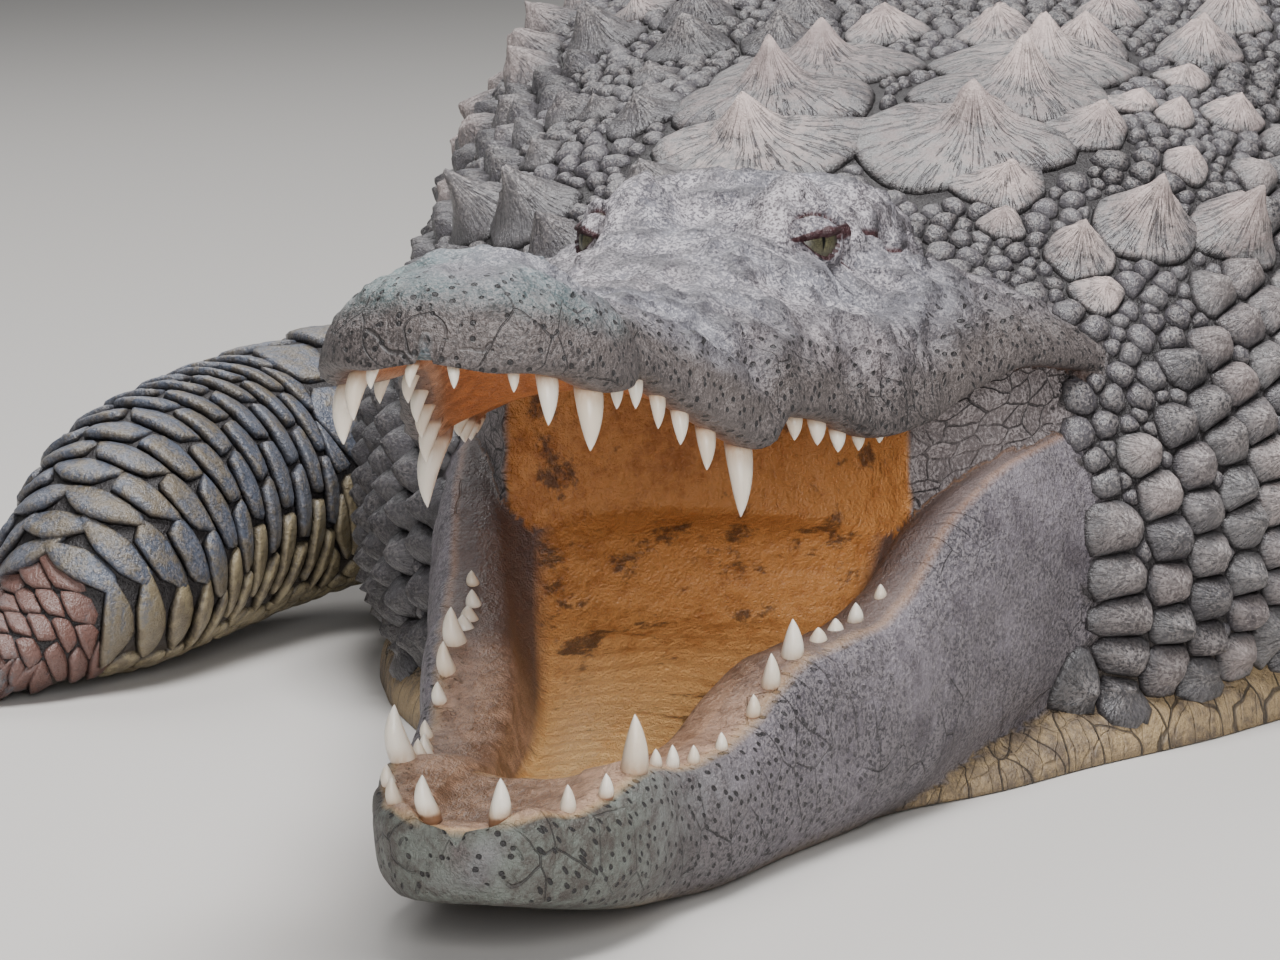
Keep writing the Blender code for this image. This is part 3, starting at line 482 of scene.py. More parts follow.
turn = np.concatenate((np.linspace(-2, -1, 26)[:-1], np.linspace(-1, 1, 60), np.linspace(1, 2, 26)[1:]))
rise = np.linspace(0, 1, 44)
gullet = gullet_surface(rise[:, None], turn[None, :])
inside = 1 - step_up(np.abs(turn), 0.93, 1.04)[None, :] + 0 * rise[:, None]
folds = np.sin((gullet[..., 2] * 230 + gullet[..., 0] * 60) + 2.2 * lumps(gullet, 0.035, 7))
folds = 0.0016 * folds * (1 - inside) + 0.0022 * inside * lumps(gullet, 0.028, 8)
gullet = gullet - grid_normals(gullet) * (folds * step_up(rise, 0, 0.1)[:, None])[..., None]
flesh.append(
    loft(
        jaw_in_world(gullet),
        lie_x=gullet[..., 0],
        lie_y=gullet[..., 2],
        mouth=inside,
        wrinkles=1 - inside,
    )
)

# ------------------------------------------------------------------ neck, trunk and tail
# One long barrel, broad and flat-backed, pressed flat underneath by the floor, that narrows to a tall thin
# tail. The skin lies inside the scales by their thickness.

HIP = 2.06
TAIL_TIP = 4.26
TAIL_TURN = math.radians(52)
SCALE_DEPTH = 0.004
BODY_HALF_WIDTH = (
    (0.50, 0.140), (0.52, 0.178), (0.56, 0.222), (0.62, 0.262), (0.70, 0.300), (0.76, 0.315), (0.85, 0.325),
    (1.00, 0.350), (1.20, 0.388), (1.50, 0.415), (1.80, 0.370), (2.02, 0.275), (2.20, 0.212), (2.60, 0.155),
    (3.20, 0.104), (3.80, 0.054), (4.15, 0.022), (TAIL_TIP, 0.008),
)
BODY_TOP = (
    (0.50, 0.200), (0.52, 0.225), (0.56, 0.255), (0.62, 0.282), (0.70, 0.316), (0.79, 0.350), (0.90, 0.360),
    (1.00, 0.376), (1.20, 0.408), (1.50, 0.420), (1.80, 0.388), (2.02, 0.335), (2.20, 0.294), (2.60, 0.240),
    (3.20, 0.176), (3.80, 0.100), (4.15, 0.052), (TAIL_TIP, 0.026),
)
WIDEST = ((0.50, 0.34), (0.76, 0.30), (1.00, 0.48), (1.50, 0.42), (2.60, 0.48), (TAIL_TIP, 0.50))
SQUARE_TOP = ((0.50, 2.4), (0.76, 2.6), (1.10, 3.3), (1.6, 2.8), (2.6, 2.1), (TAIL_TIP, 2.0))
SQUARE_BELLY = ((0.50, 3.4), (1.9, 3.2), (2.6, 2.4), (TAIL_TIP, 2.2))


def body_surface(back, columns=113):
    """Squared ovals round the spine, resampled so that columns are evenly spaced by girth, from the belly
    on the right, over the back, to the belly on the left. The spine bends to the left along the tail."""
    fine = np.linspace(-math.pi / 2, math.pi / 2, 361)[None, :]
    x = back[:, None]
    half = profile(BODY_HALF_WIDTH, x) - SCALE_DEPTH
    top = profile(BODY_TOP, x) - SCALE_DEPTH
    middle = top * profile(WIDEST, x)
    power = 2 / np.where(fine > 0, profile(SQUARE_TOP, x), profile(SQUARE_BELLY, x))
    y = half * np.abs(np.cos(fine)) ** power
    rise = np.abs(np.sin(fine)) ** power
    z = middle + np.where(fine > 0, (top - middle) * rise, -(middle + 0.005) * rise)
    z = np.maximum(z, 0.003)
    length = np.cumsum(np.hypot(np.diff(y, prepend=y[:, :1]), np.diff(z, prepend=z[:, :1])), axis=1)
    half_girth = length[:, -1]
    even = np.linspace(0, 1, (columns + 1) // 2)
    sides = [
        np.stack((np.interp(even, run / run[-1], a), np.interp(even, run / run[-1], b)))
        for run, a, b in zip(length, y, z)
    ]
    left = np.array(sides)
    y = np.concatenate((-left[:, 0], left[:, 0, -2::-1]), axis=1)
    z = np.concatenate((left[:, 1], left[:, 1, -2::-1]), axis=1)
    turn = TAIL_TURN * np.clip((back - HIP) / (TAIL_TIP - HIP), 0, 1) ** 1.4
    stride = np.diff(back, prepend=back[0])
    spine_x = back[0] + np.cumsum(np.cos(turn) * stride)
    spine_y = np.cumsum(np.sin(turn) * stride)
    spine_x, spine_y, turn = spine_x[:, None], spine_y[:, None], turn[:, None]
    points = in_world(np.stack((spine_x - y * np.sin(turn), spine_y + y * np.cos(turn), z), -1))
    return {"along": back, "half_girth": half_girth, "points": points, "normals": -grid_normals(points)}


body = body_surface(
    spread((0.50, 1.10, 0.012), (1.10, 2.1, 0.022), (2.1, 4.2, 0.030), (4.2, TAIL_TIP, 0.012))
)
across = np.linspace(-1, 1, body["points"].shape[1])[None, :] * body["half_girth"][:, None]
flesh.append(
    loft(
        body["points"][:, :-1],
        lie_x=body["along"][:, None],
        lie_y=across[:, :-1],
        belly=(1 - step_up(body["points"][..., 2], 0.015, 0.075))[:, :-1],
        scaled=1.0,
    )
)

# The pad of soft pale skin under the jaws, pressed out sideways by the floor.
THROAT_WIDTH = (
    (0.13, 0.018), (0.23, 0.056), (0.30, 0.088), (0.38, 0.126), (0.44, 0.165), (0.50, 0.195), (0.61, 0.258),
    (0.72, 0.296), (0.82, 0.298), (0.96, 0.250),
)
THROAT_HEIGHT = (
    (0.13, 0.006), (0.25, 0.012), (0.40, 0.026), (0.50, 0.040), (0.61, 0.060), (0.74, 0.075), (0.84, 0.060),
    (0.96, 0.02),
)


def throat_surface(x, columns=65):
    """A low arch of the width and height at each x, over a flat bottom."""
    a = np.linspace(0, math.pi, columns)[None, :]
    half, tall = profile(THROAT_WIDTH, x[:, None]), profile(THROAT_HEIGHT, x[:, None])
    y = half * np.sign(np.cos(a)) * np.abs(np.cos(a)) ** 0.7
    z = 0.0008 + tall * np.sin(a) ** 0.8
    arch = np.stack((x[:, None] + 0 * y, y, z), -1)
    flat = arch[:, -2:0:-4] * (1, 1, 0) + (0, 0, 0.0006)
    return np.concatenate((arch, flat), axis=1)


throat = throat_surface(spread((0.13, 0.96, 0.012)))
flesh.append(
    loft(
        in_world(throat)[:, ::-1],
        lie_x=throat[:, ::-1, 0],
        lie_y=throat[:, ::-1, 1],
        belly=1.0,
        wrinkles=0.6,
    )
)

# ------------------------------------------------------------------ legs, feet and toes
# Short heavy limbs bent out from the body. The forefoot has five toes and the hind foot four, webbed, and
# the inner three of each bear claws.

FRONT_TOES = (
    (-34, 0.050, True), (-14, 0.068, True), (6, 0.074, True), (26, 0.064, False), (46, 0.048, False)
)
HIND_TOES = ((-24, 0.070, True), (-6, 0.094, True), (12, 0.100, True), (30, 0.080, False))
# joints from the body out to the wrist as (behind the jaw tip, left, up, half-width, half-height)
LEGS = {
    "right_hand": (
        (
            (1.00, -0.20, 0.145, 0.088, 0.088), (0.90, -0.340, 0.113, 0.084, 0.084),
            (0.81, -0.422, 0.092, 0.080, 0.084), (0.70, -0.440, 0.086, 0.076, 0.082),
            (0.605, -0.462, 0.050, 0.058, 0.052),
        ),
        -62, FRONT_TOES, 1.0,
    ),
    "left_hand": (
        (
            (1.00, 0.20, 0.160, 0.090, 0.095), (1.09, 0.370, 0.130, 0.085, 0.092),
            (1.17, 0.473, 0.091, 0.073, 0.081), (1.08, 0.535, 0.076, 0.068, 0.070),
            (0.98, 0.580, 0.048, 0.055, 0.048),
        ),
        24, FRONT_TOES, 1.0,
    ),
    "right_foot": (
        (
            (2.02, -0.14, 0.170, 0.110, 0.120), (1.92, -0.330, 0.150, 0.112, 0.122),
            (1.795, -0.463, 0.112, 0.085, 0.094), (1.93, -0.510, 0.084, 0.075, 0.076),
            (2.04, -0.550, 0.052, 0.054, 0.052),
        ),
        -34, HIND_TOES, 1.15,
    ),
    "left_foot": (
        (
            (2.02, 0.14, 0.170, 0.110, 0.120), (1.94, 0.330, 0.150, 0.112, 0.122),
            (1.835, 0.473, 0.112, 0.085, 0.094), (1.97, 0.520, 0.084, 0.075, 0.076),
            (2.08, 0.555, 0.052, 0.054, 0.052),
        ),
        38, HIND_TOES, 1.15,
    ),
}


def limb_surface(joints, count, columns=49, floor=0.0012):
    """Ovals of the joints' half-widths and half-heights across a smooth line through the joints. Columns
    start and end underneath, and pass over the top in the middle."""
    joints = np.array(joints, float)
    span = np.append(0, np.cumsum(np.linalg.norm(np.diff(joints[:, :3], axis=0), axis=1)))
    at = np.linspace(0, span[-1], count)
    fields = [profile(tuple(zip(span, joints[:, k])), at) for k in range(5)]
    kernel = np.hanning(max(3, count // 6) + 2)[1:-1]
    reach = len(kernel) // 2
    padded = [np.pad(field, reach, mode="edge") for field in fields]
    fields = [np.convolve(field, kernel / kernel.sum(), mode="same")[reach:-reach] for field in padded]
    line = in_world(np.stack(fields[:3], -1))
    ahead = np.gradient(line, axis=0)
    ahead /= np.linalg.norm(ahead, axis=1)[:, None]
    across = np.cross(ahead, (0, 0, 1))
    across /= np.linalg.norm(across, axis=1)[:, None]
    up = np.cross(across, ahead)
    angle = np.linspace(-math.pi, math.pi, columns)[None, :, None]
    points = (
        line[:, None]
        + across[:, None] * fields[3][:, None, None] * np.sin(angle)
        + up[:, None] * fields[4][:, None, None] * np.cos(angle)
    )
    points[..., 2] = np.maximum(points[..., 2], floor)
    half_girth = np.linalg.norm(np.diff(points, axis=1), axis=-1).sum(1) / 2
    normals = -grid_normals(points)
    return {"along": at, "half_girth": half_girth, "points": points, "normals": normals}


def add_limb(surface):
    """Adds a limb to the flesh, with marks that say where its underside is."""
    n = surface["points"].shape[1] - 1
    across = np.linspace(-1, 1, n + 1)[None, :-1] * surface["half_girth"][:, None]
    flesh.append(
        loft(
            surface["points"][:, :-1],
            lie_x=surface["along"][:, None],
            lie_y=across,
            belly=step_up(-surface["normals"][:, :-1, 2], 0.3, 0.9) * 0.8,
            scaled=1.0,
        )
    )


legs, palms, toes, claw_roots = {}, [], [], []
for name, (joints, heading, toe_plan, size) in LEGS.items():
    inset = np.array(joints) - (0, 0, 0, SCALE_DEPTH, SCALE_DEPTH)
    past = inset[-1] + (inset[-1] - inset[-2]) * (0.30, 0.30, 0.15, 0, 0)
    inset = np.concatenate((inset, [past * (1, 1, 1, 0.45, 0.45)]))
    legs[name] = limb_surface(inset, 56, 41)
    add_limb(legs[name])
    wrist, side = np.array(joints[-1]), -1 if name.startswith("right") else 1
    knuckle = 0.085 * size

    def ahead(angle, far, z):
        """A place at a distance from the wrist, turned outwards by an angle."""
        turn = math.radians(heading + side * angle)
        return (wrist[0] - far * math.cos(turn), wrist[1] + far * math.sin(turn), z)

    palm = (
        (*ahead(0, -0.010, wrist[2] - 0.004), wrist[3] - 0.016, wrist[4] - 0.014),
        (*ahead(0, knuckle * 0.5, 0.026 * size), 0.050 * size, 0.026 * size),
        (*ahead(0, knuckle * 1.1, 0.015 * size), 0.056 * size, 0.015 * size),
    )
    palms.append(limb_surface(palm, 20, 33, 0.0010))
    add_limb(palms[-1])
    for angle, length, clawed in toe_plan:
        far = knuckle + length * size
        thick = 0.0132 * size
        path = (
            (*ahead(angle * 0.8, knuckle * 0.45, 0.018 * size), thick * 1.1, thick),
            (*ahead(angle, knuckle + 0.4 * length * size, 0.018 * size), thick, thick * 1.05),
            (*ahead(angle, far - 0.004, 0.0135 * size), thick * 0.82, thick * 0.86),
            (*ahead(angle, far + 0.004, 0.0115 * size), thick * 0.45, thick * 0.50),
        )
        toe = limb_surface(path, 18, 17, 0.0008)
        toes.append(toe)
        add_limb(toe)
        if clawed:
            root, tip = ahead(angle, far - 0.004, 0.0135 * size), ahead(angle, far + 0.040 * size, 0.003)
            claw_roots.append((root, tip, size))

# ------------------------------------------------------------------ one skin over all of it
# Skull, jaw, cheeks, body and limbs are joined into one closed surface, and the seams are smoothed away.


def as_object(name, points, faces):
    """A mesh object with smooth faces."""
    mesh = bpy.data.meshes.new(name)
    mesh.from_pydata(np.asarray(points).tolist(), [], faces)
    mesh.polygons.foreach_set("use_smooth", np.ones(len(mesh.polygons), bool))
    made = bpy.data.objects.new(name, mesh)
    bpy.context.scene.collection.objects.link(made)
    return made


def nearest_on(points, target, keys):
    """The place, the outward normal and the marks of the target's surface nearest to each point."""
    tree = bpy.data.node_groups.new("nearest", "GeometryNodeTree")
    for way in ("INPUT", "OUTPUT"):
        tree.interface.new_socket("Geometry", in_out=way, socket_type="NodeSocketGeometry")
    made = tree.nodes.new("NodeGroupInput").outputs[0]
    info = tree.nodes.new("GeometryNodeObjectInfo")
    info.inputs["Object"].default_value = target
    wanted = {
        "place": tree.nodes.new("GeometryNodeInputPosition").outputs[0],
        "outward": tree.nodes.new("GeometryNodeInputNormal").outputs[0],
    }
    for key in keys:
        named = tree.nodes.new("GeometryNodeInputNamedAttribute")
        named.data_type = "FLOAT"
        named.inputs["Name"].default_value = key
        wanted[key] = named.outputs["Attribute"]
    for key, value in wanted.items():
        sample = tree.nodes.new("GeometryNodeSampleNearestSurface")
        store = tree.nodes.new("GeometryNodeStoreNamedAttribute")
        sample.data_type = store.data_type = "FLOAT" if key in keys else "FLOAT_VECTOR"
        store.domain = "POINT"
        store.inputs["Name"].default_value = key
        tree.links.new(info.outputs["Geometry"], sample.inputs["Mesh"])
        tree.links.new(value, sample.inputs["Value"])
        tree.links.new(made, store.inputs["Geometry"])
        tree.links.new(sample.outputs["Value"], store.inputs["Value"])
        made = store.outputs["Geometry"]
    tree.links.new(made, tree.nodes.new("NodeGroupOutput").inputs[0])
    probe = as_object("probe", points.reshape(-1, 3), [])
    probe.modifiers.new("nearest", "NODES").node_group = tree
    mesh = probe.evaluated_get(bpy.context.evaluated_depsgraph_get()).data
    found = {}
    for key in wanted:
        wide = 1 if key in keys else 3
        values = np.empty(len(mesh.vertices) * wide, np.float32)
        mesh.attributes[key].data.foreach_get("value" if wide == 1 else "vector", values)
        found[key] = values.reshape(points.shape[:-1] + (() if wide == 1 else (3,))).astype(float)
    bpy.data.meshes.remove(probe.data)
    bpy.data.node_groups.remove(tree)
    return found


def faces_of(piece, start=0):
    """The corners of a piece's faces, counted from a first point."""
    return (piece["quads"] + start).tolist() + (piece["fans"] + start).tolist()


def joined(pieces, name, widening=5, smoothing=12):
    """The union of the closed pieces, with the marks of each kept from its nearest surface. Where pieces
    meet, a band is widened a few points each way and its points drawn to the mean of their neighbours."""
    parts = [as_object(f"{name}_{k}", piece["points"], faces_of(piece)) for k, piece in enumerate(pieces)]
    starts = np.cumsum([0] + [len(piece["points"]) for piece in pieces])
    every = as_object(
        "every", np.concatenate([piece["points"] for piece in pieces]),
        sum((faces_of(piece, start) for piece, start in zip(pieces, starts)), []),
    )
    keys = (*pieces[0]["marks"], "owner")
    for key in keys:
        values = [piece["marks"].get(key, np.full(len(piece["points"]), k)) for k, piece in enumerate(pieces)]
        layer = every.data.attributes.new(key, "FLOAT", "POINT")
        layer.data.foreach_set("value", np.concatenate(values).astype(np.float32))
    whole = parts[0]
    for part in parts[1:]:
        union = whole.modifiers.new("join", "BOOLEAN")
        union.operation, union.object, union.solver = "UNION", part, "MANIFOLD"
    bpy.context.view_layer.update()
    evaluated = whole.evaluated_get(bpy.context.evaluated_depsgraph_get())
    mesh = bpy.data.meshes.new_from_object(evaluated)
    points = np.empty(len(mesh.vertices) * 3, np.float32)
    mesh.vertices.foreach_get("co", points)
    points = points.reshape(-1, 3).astype(float)
    marks = nearest_on(points, every, keys)
    owner = np.round(marks.pop("owner"))
    for part in (*parts, every):
        bpy.data.meshes.remove(part.data)
    edges = np.empty(len(mesh.edges) * 2, np.int32)
    mesh.edges.foreach_get("vertices", edges)
    a, b = edges.reshape(-1, 2).T
    seam = np.zeros(len(points))
    crossing = owner[a] != owner[b]
    seam[a[crossing]] = seam[b[crossing]] = 1
    count = np.maximum(np.bincount(a, minlength=len(points)) + np.bincount(b, minlength=len(points)), 1)

    def around(value):
        """The mean of a value over each point's neighbours."""
        return (
            np.bincount(a, weights=value[b], minlength=len(points))
            + np.bincount(b, weights=value[a], minlength=len(points))
        ) / count

    for _ in range(widening):
        seam = np.maximum(seam, 0.85 * around(seam) * 1.6).clip(0, 1)
    for _ in range(smoothing):
        mean = np.stack([around(axis) for axis in points.T], -1)
        points += (mean - points) * (0.6 * seam)[:, None]
    mesh.vertices.foreach_set("co", points.astype(np.float32).ravel())
    mesh.update()
    for key in pieces[0]["marks"]:
        layer = mesh.attributes.new(key, "FLOAT", "POINT")
        layer.data.foreach_set("value", marks[key].astype(np.float32))
    return mesh


skin_mesh = joined(flesh, "flesh")
skin_mesh.polygons.foreach_set("use_smooth", np.ones(len(skin_mesh.polygons), bool))
skin = bpy.data.objects.new("skin", skin_mesh)
bpy.context.scene.collection.objects.link(skin)
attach(skin, "root")
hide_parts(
    "skull", "lower_jaw", "cheeks", "throat", "neck", "trunk", "tail_base", "tail_middle", "tail_end",
    *(f"{side}_{bone}" for side in ("left", "right")
      for bone in ("upper_arm", "forearm", "hand", "thigh", "shin", "foot")),
)


def material(name):
    """A new material, its node tree and its shader."""
    made = bpy.data.materials.new(name)
    made.use_nodes = True
    tree = made.node_tree
    return made, tree, tree.nodes["Principled BSDF"]


def feed(tree, target, value):
    """Links a socket to a socket, or sets a plain value on it."""
    if isinstance(value, bpy.types.NodeSocket):
        tree.links.new(value, target)
    elif isinstance(value, tuple) and len(value) == 3 and target.type == "RGBA":
        target.default_value = (*value, 1)
    else:
        target.default_value = value


def maths(tree, operation, *values, clamp=False):
    """A sum worked out on values, clamped to between 0 and 1 if asked."""
    node = tree.nodes.new("ShaderNodeMath")
    node.operation, node.use_clamp = operation, clamp
    for socket, value in zip(node.inputs, values):
        feed(tree, socket, value)
    return node.outputs[0]


def times(tree, first, second, clamp=False):
    """The product of two values."""
    return maths(tree, "MULTIPLY", first, second, clamp=clamp)


def times_plus(tree, first, second, third, clamp=False):
    """The product of two values, with a third added."""
    return maths(tree, "MULTIPLY_ADD", first, second, third, clamp=clamp)


def ramp(tree, value, low, high, to_low=0.0, to_high=1.0):
    """Smoothly from to_low, at or below low, to to_high, at or above high."""
    node = tree.nodes.new("ShaderNodeMapRange")
    node.interpolation_type = "SMOOTHSTEP"
    for socket, given in zip(node.inputs, (value, low, high, to_low, to_high)):
        feed(tree, socket, given)
    return node.outputs[0]


def mix(tree, factor, first, second):
    """The first colour where the factor is 0, the second where it is 1, and a blend between."""
    node = tree.nodes.new("ShaderNodeMix")
    node.data_type = "RGBA"
    feed(tree, node.inputs[0], factor)
    feed(tree, node.inputs[6], first)
    feed(tree, node.inputs[7], second)
    return node.outputs[2]


def mark(tree, name, output="Fac"):
    """A value stored on the mesh under a name."""
    node = tree.nodes.new("ShaderNodeAttribute")
    node.attribute_name = name
    return node.outputs[output]


def noise(tree, vector, scale, detail=3.0, rough=0.55):
    """Cloudy noise from 0 to 1 over a place."""
    node = tree.nodes.new("ShaderNodeTexNoise")
    feed(tree, node.inputs["Vector"], vector)
    node.inputs["Scale"].default_value = scale
    node.inputs["Detail"].default_value = detail
    node.inputs["Roughness"].default_value = rough
    return node.outputs["Fac"]


def place_on(tree):
    """The place in the object's own space."""
    return mark(tree, "position", "Vector")


def bump_of(tree, height, distance, strength=1.0):
    """The normal of a surface raised by a height, where 1 is the distance given."""
    node = tree.nodes.new("ShaderNodeBump")
    feed(tree, node.inputs["Height"], height)
    node.inputs["Distance"].default_value = distance
    node.inputs["Strength"].default_value = strength
    return node.outputs["Normal"]


def stretched(tree, vector, scale):
    """A place with each of its measures multiplied by its own scale."""
    node = tree.nodes.new("ShaderNodeVectorMath")
    node.operation = "MULTIPLY"
    feed(tree, node.inputs[0], vector)
    node.inputs[1].default_value = scale
    return node.outputs[0]


def cells(tree, vector, scale, feature="F1", randomness=1.0, sides="2D"):
    """Distance to the middle of the nearest of many cells, or to the nearest border between them."""
    node = tree.nodes.new("ShaderNodeTexVoronoi")
    node.voronoi_dimensions = sides
    node.feature = feature
    feed(tree, node.inputs["Vector"], vector)
    node.inputs["Scale"].default_value = scale
    node.inputs["Randomness"].default_value = randomness
    return node.outputs["Distance"]


def group(name, inputs, outputs, build):
    """A shader node group. build takes the tree and the input sockets by name, and returns the values of
    the outputs by name."""
    tree = bpy.data.node_groups.new(name, "ShaderNodeTree")
    for key, kind in inputs.items():
        tree.interface.new_socket(key, in_out="INPUT", socket_type=kind)
    for key, kind in outputs.items():
        tree.interface.new_socket(key, in_out="OUTPUT", socket_type=kind)
    entry, end = tree.nodes.new("NodeGroupInput"), tree.nodes.new("NodeGroupOutput")
    for key, value in build(tree, {key: entry.outputs[key] for key in inputs}).items():
        feed(tree, end.inputs[key], value)
    return tree


def placed(tree, made, **values):
    """Puts a group in a material and returns its outputs by name."""
    node = tree.nodes.new("ShaderNodeGroup")
    node.node_tree = made
    for key, value in values.items():
        feed(tree, node.inputs[key], value)
    return node.outputs


def build_grain(tree, given):
    """Clouds of three sizes over a place, and mixes of them for blotches, dust and flecks."""
    broad = noise(tree, given["Vector"], 9, 2.0, 0.6)
    fine = noise(tree, given["Vector"], 95, 4.0, 0.75)
    grit = noise(tree, given["Vector"], 520, 2.0, 0.65)
    both = times_plus(tree, broad, 0.45, times(tree, fine, 0.55))
    dusty = times_plus(tree, broad, 0.55, times_plus(tree, grit, 0.45, times(tree, fine, 0.20)))
    fleck = times_plus(tree, grit, 0.55, times_plus(tree, fine, 0.35, times(tree, broad, 0.10)))
    return {
        "Mottle": both, "Dust": ramp(tree, dusty, 0.50, 0.82), "Fleck": ramp(tree, fleck, 0.465, 0.555),
        "Fine": fine, "Grit": grit, "Broad": broad,
    }


def build_mottle(tree, given):
    """Blotches of a dark colour on a light one, over a share of the surface given by the amount."""
    lean = maths(tree, "SUBTRACT", given["Amount"], 0.5)
    share = ramp(tree, maths(tree, "ADD", given["Pattern"], lean), 0.41, 0.59)
    return {"Color": mix(tree, share, given["Light"], given["Dark"])}


VECTOR, FLOAT, COLOR = "NodeSocketVector", "NodeSocketFloat", "NodeSocketColor"
grain = group(
    "grain", {"Vector": VECTOR},
    {name: FLOAT for name in ("Mottle", "Dust", "Fleck", "Fine", "Grit", "Broad")}, build_grain,
)
mottle = group(
    "mottle", {"Pattern": FLOAT, "Light": COLOR, "Dark": COLOR, "Amount": FLOAT}, {"Color": COLOR},
    build_mottle,
)

# the light and the dark of each part of the skin
HEAD_SKIN = (0.165, 0.162, 0.188), (0.055, 0.052, 0.064)
LIP_SKIN = (0.092, 0.076, 0.072), (0.033, 0.027, 0.027)
JAW_SKIN = (0.175, 0.155, 0.175), (0.048, 0.042, 0.050)
CHIN_SKIN = (0.135, 0.150, 0.130), (0.060, 0.050, 0.042)
CHEEK_SKIN = (0.155, 0.130, 0.130), (0.055, 0.045, 0.046)
BELLY_SKIN = (0.33, 0.235, 0.125), (0.13, 0.095, 0.065)
TONGUE_YELLOW = (0.92, 0.60, 0.26), (0.82, 0.43, 0.14)
THROAT_ORANGE = (0.56, 0.25, 0.075), (0.36, 0.135, 0.035)
PALATE_RUST = (0.46, 0.155, 0.045), (0.25, 0.070, 0.020)
GUM_PINK = (0.50, 0.315, 0.22), (0.22, 0.125, 0.080)
# what lies on it or shows in its cracks, and the painted shade and sheen on it
DUST, ALGAE = (0.50, 0.37, 0.33), (0.070, 0.165, 0.170)
SHADE, BRUISE = (0.085, 0.080, 0.092), (0.040, 0.030, 0.040)
HEAD_FLECK_AND_SHEEN, LIP_FLECK, JAW_FLECK = (0.40, 0.39, 0.43), (0.24, 0.20, 0.19), (0.36, 0.32, 0.335)
CHEEK_FLECK, GUM_FLECK = (0.30, 0.262, 0.262), (0.06, 0.04, 0.035)
HOLLOW_SHADE, CRACK, PORE = (0.040, 0.037, 0.044), (0.03, 0.025, 0.026), (0.012, 0.010, 0.011)
TILE_EDGE, CREASE, BELLY_CREASE = (0.045, 0.033, 0.024), (0.020, 0.017, 0.018), (0.10, 0.075, 0.05)
LID_EDGE, BLOT, GUM_BEHIND = (0.040, 0.011, 0.014), (0.055, 0.028, 0.018), (0.095, 0.078, 0.080)

hide, tree, shader = material("hide")
where = place_on(tree)
key = {name: mark(tree, name) for name in MARKS}
lie = tree.nodes.new("ShaderNodeCombineXYZ")
feed(tree, lie.inputs[0], key["lie_x"])
feed(tree, lie.inputs[1], key["lie_y"])
wander = tree.nodes.new("ShaderNodeVectorMath")
wander.operation = "MULTIPLY_ADD"
drift = tree.nodes.new("ShaderNodeTexNoise")
feed(tree, drift.inputs["Vector"], where)
drift.inputs["Scale"].default_value = 30
feed(tree, wander.inputs[0], drift.outputs["Color"])
wander.inputs[1].default_value = (0.010, 0.010, 0.010)
feed(tree, wander.inputs[2], lie.outputs[0])
flow = wander.outputs[0]

texture = placed(tree, grain, Vector=where)


def blotched(light, dark, amount):
    """Two colours in the blotches of this material's grain."""
    return placed(
        tree, mottle, Pattern=texture["Mottle"], Light=(*light, 1), Dark=(*dark, 1), Amount=amount
    )["Color"]


# bony head: knobs of dark slate under pale flecks that are partly painted sheen highlights, painted shade
# down towards the lip, in its hollows and between the knobs, greenish over the nostrils
knob = cells(tree, flow, 58)
knob_edge = ramp(tree, times_plus(tree, texture["Fine"], 0.5, knob), 0.62, 0.98)
# pale flecks on the head, partly real flecks and partly painted sheen highlights
head = mix(tree, texture["Fleck"], blotched(*HEAD_SKIN, 0.50), HEAD_FLECK_AND_SHEEN)
snout = ramp(tree, key["lie_x"], 0.06, 0.15, 0.75, 0.0)
green = times(tree, snout, ramp(tree, texture["Broad"], 0.35, 0.6))
low = ramp(tree, key["pores"], 0.005, 0.25, 0.0, 0.60)
head = mix(tree, low, head, SHADE)
head = mix(tree, green, head, ALGAE)
head = mix(tree, times(tree, texture["Dust"], 0.30), head, DUST)
# painted shade: darker in the dips of the bony lumps and in the creases between the knobs
hollow = ramp(tree, times_plus(tree, texture["Fine"], 0.7, key["hollow"]), 0.80, 1.06, 0.0, 0.75)
hollow = maths(tree, "MAXIMUM", hollow, times(tree, knob_edge, 0.45))
head = mix(tree, hollow, head, HOLLOW_SHADE)
# lips and sides of the jaw, with a black pore in each small scale and cracks between them
lips = blotched(*LIP_SKIN, 0.52)
lips = mix(tree, times(tree, texture["Fleck"], 0.35), lips, LIP_FLECK)
side = blotched(*JAW_SKIN, 0.52)
side = mix(tree, times(tree, texture["Fleck"], 0.38), side, JAW_FLECK)
bruise = noise(tree, where, 24, 3.0, 0.6)
side = mix(tree, ramp(tree, bruise, 0.52, 0.70, 0.0, 0.50), side, BRUISE)
front = ramp(tree, key["lie_x"], 0.05, 0.22, 0.95, 0.0)
front = times(tree, front, ramp(tree, texture["Broad"], 0.22, 0.42))
side = mix(tree, front, side, blotched(*CHIN_SKIN, 0.52))
lips = mix(tree, key["lower"], lips, side)
off_lip = ramp(tree, key["pores"], 0.10, 0.75, 1.0, 0.0)
outer = mix(tree, times(tree, key["upper"], off_lip), lips, head)
folds = mix(tree, texture["Fleck"], blotched(*CHEEK_SKIN, 0.48), CHEEK_FLECK)
outer = mix(tree, key["wrinkles"], outer, folds)
mosaic = cells(tree, stretched(tree, flow, (0.62, 1.25, 1.0)), 80, "DISTANCE_TO_EDGE")
mosaic = ramp(tree, mosaic, 0.01, 0.07, 1.0, 0.0)
mosaic = times(tree, mosaic, ramp(tree, texture["Broad"], 0.40, 0.55, 0.35, 1.0))
at_tip = ramp(tree, cells(tree, where, 160, "F1", 0.75, "3D"), 0.20, 0.27, 1.0, 0.0)
further = ramp(tree, cells(tree, flow, 118, "F1", 0.8), 0.13, 0.19, 1.0, 0.0)
tip = ramp(tree, key["lie_x"], 0.004, 0.012, 1.0, 0.0)
further = times(tree, further, maths(tree, "SUBTRACT", 1.0, tip))
pores = maths(tree, "MAXIMUM", times(tree, at_tip, tip), further)
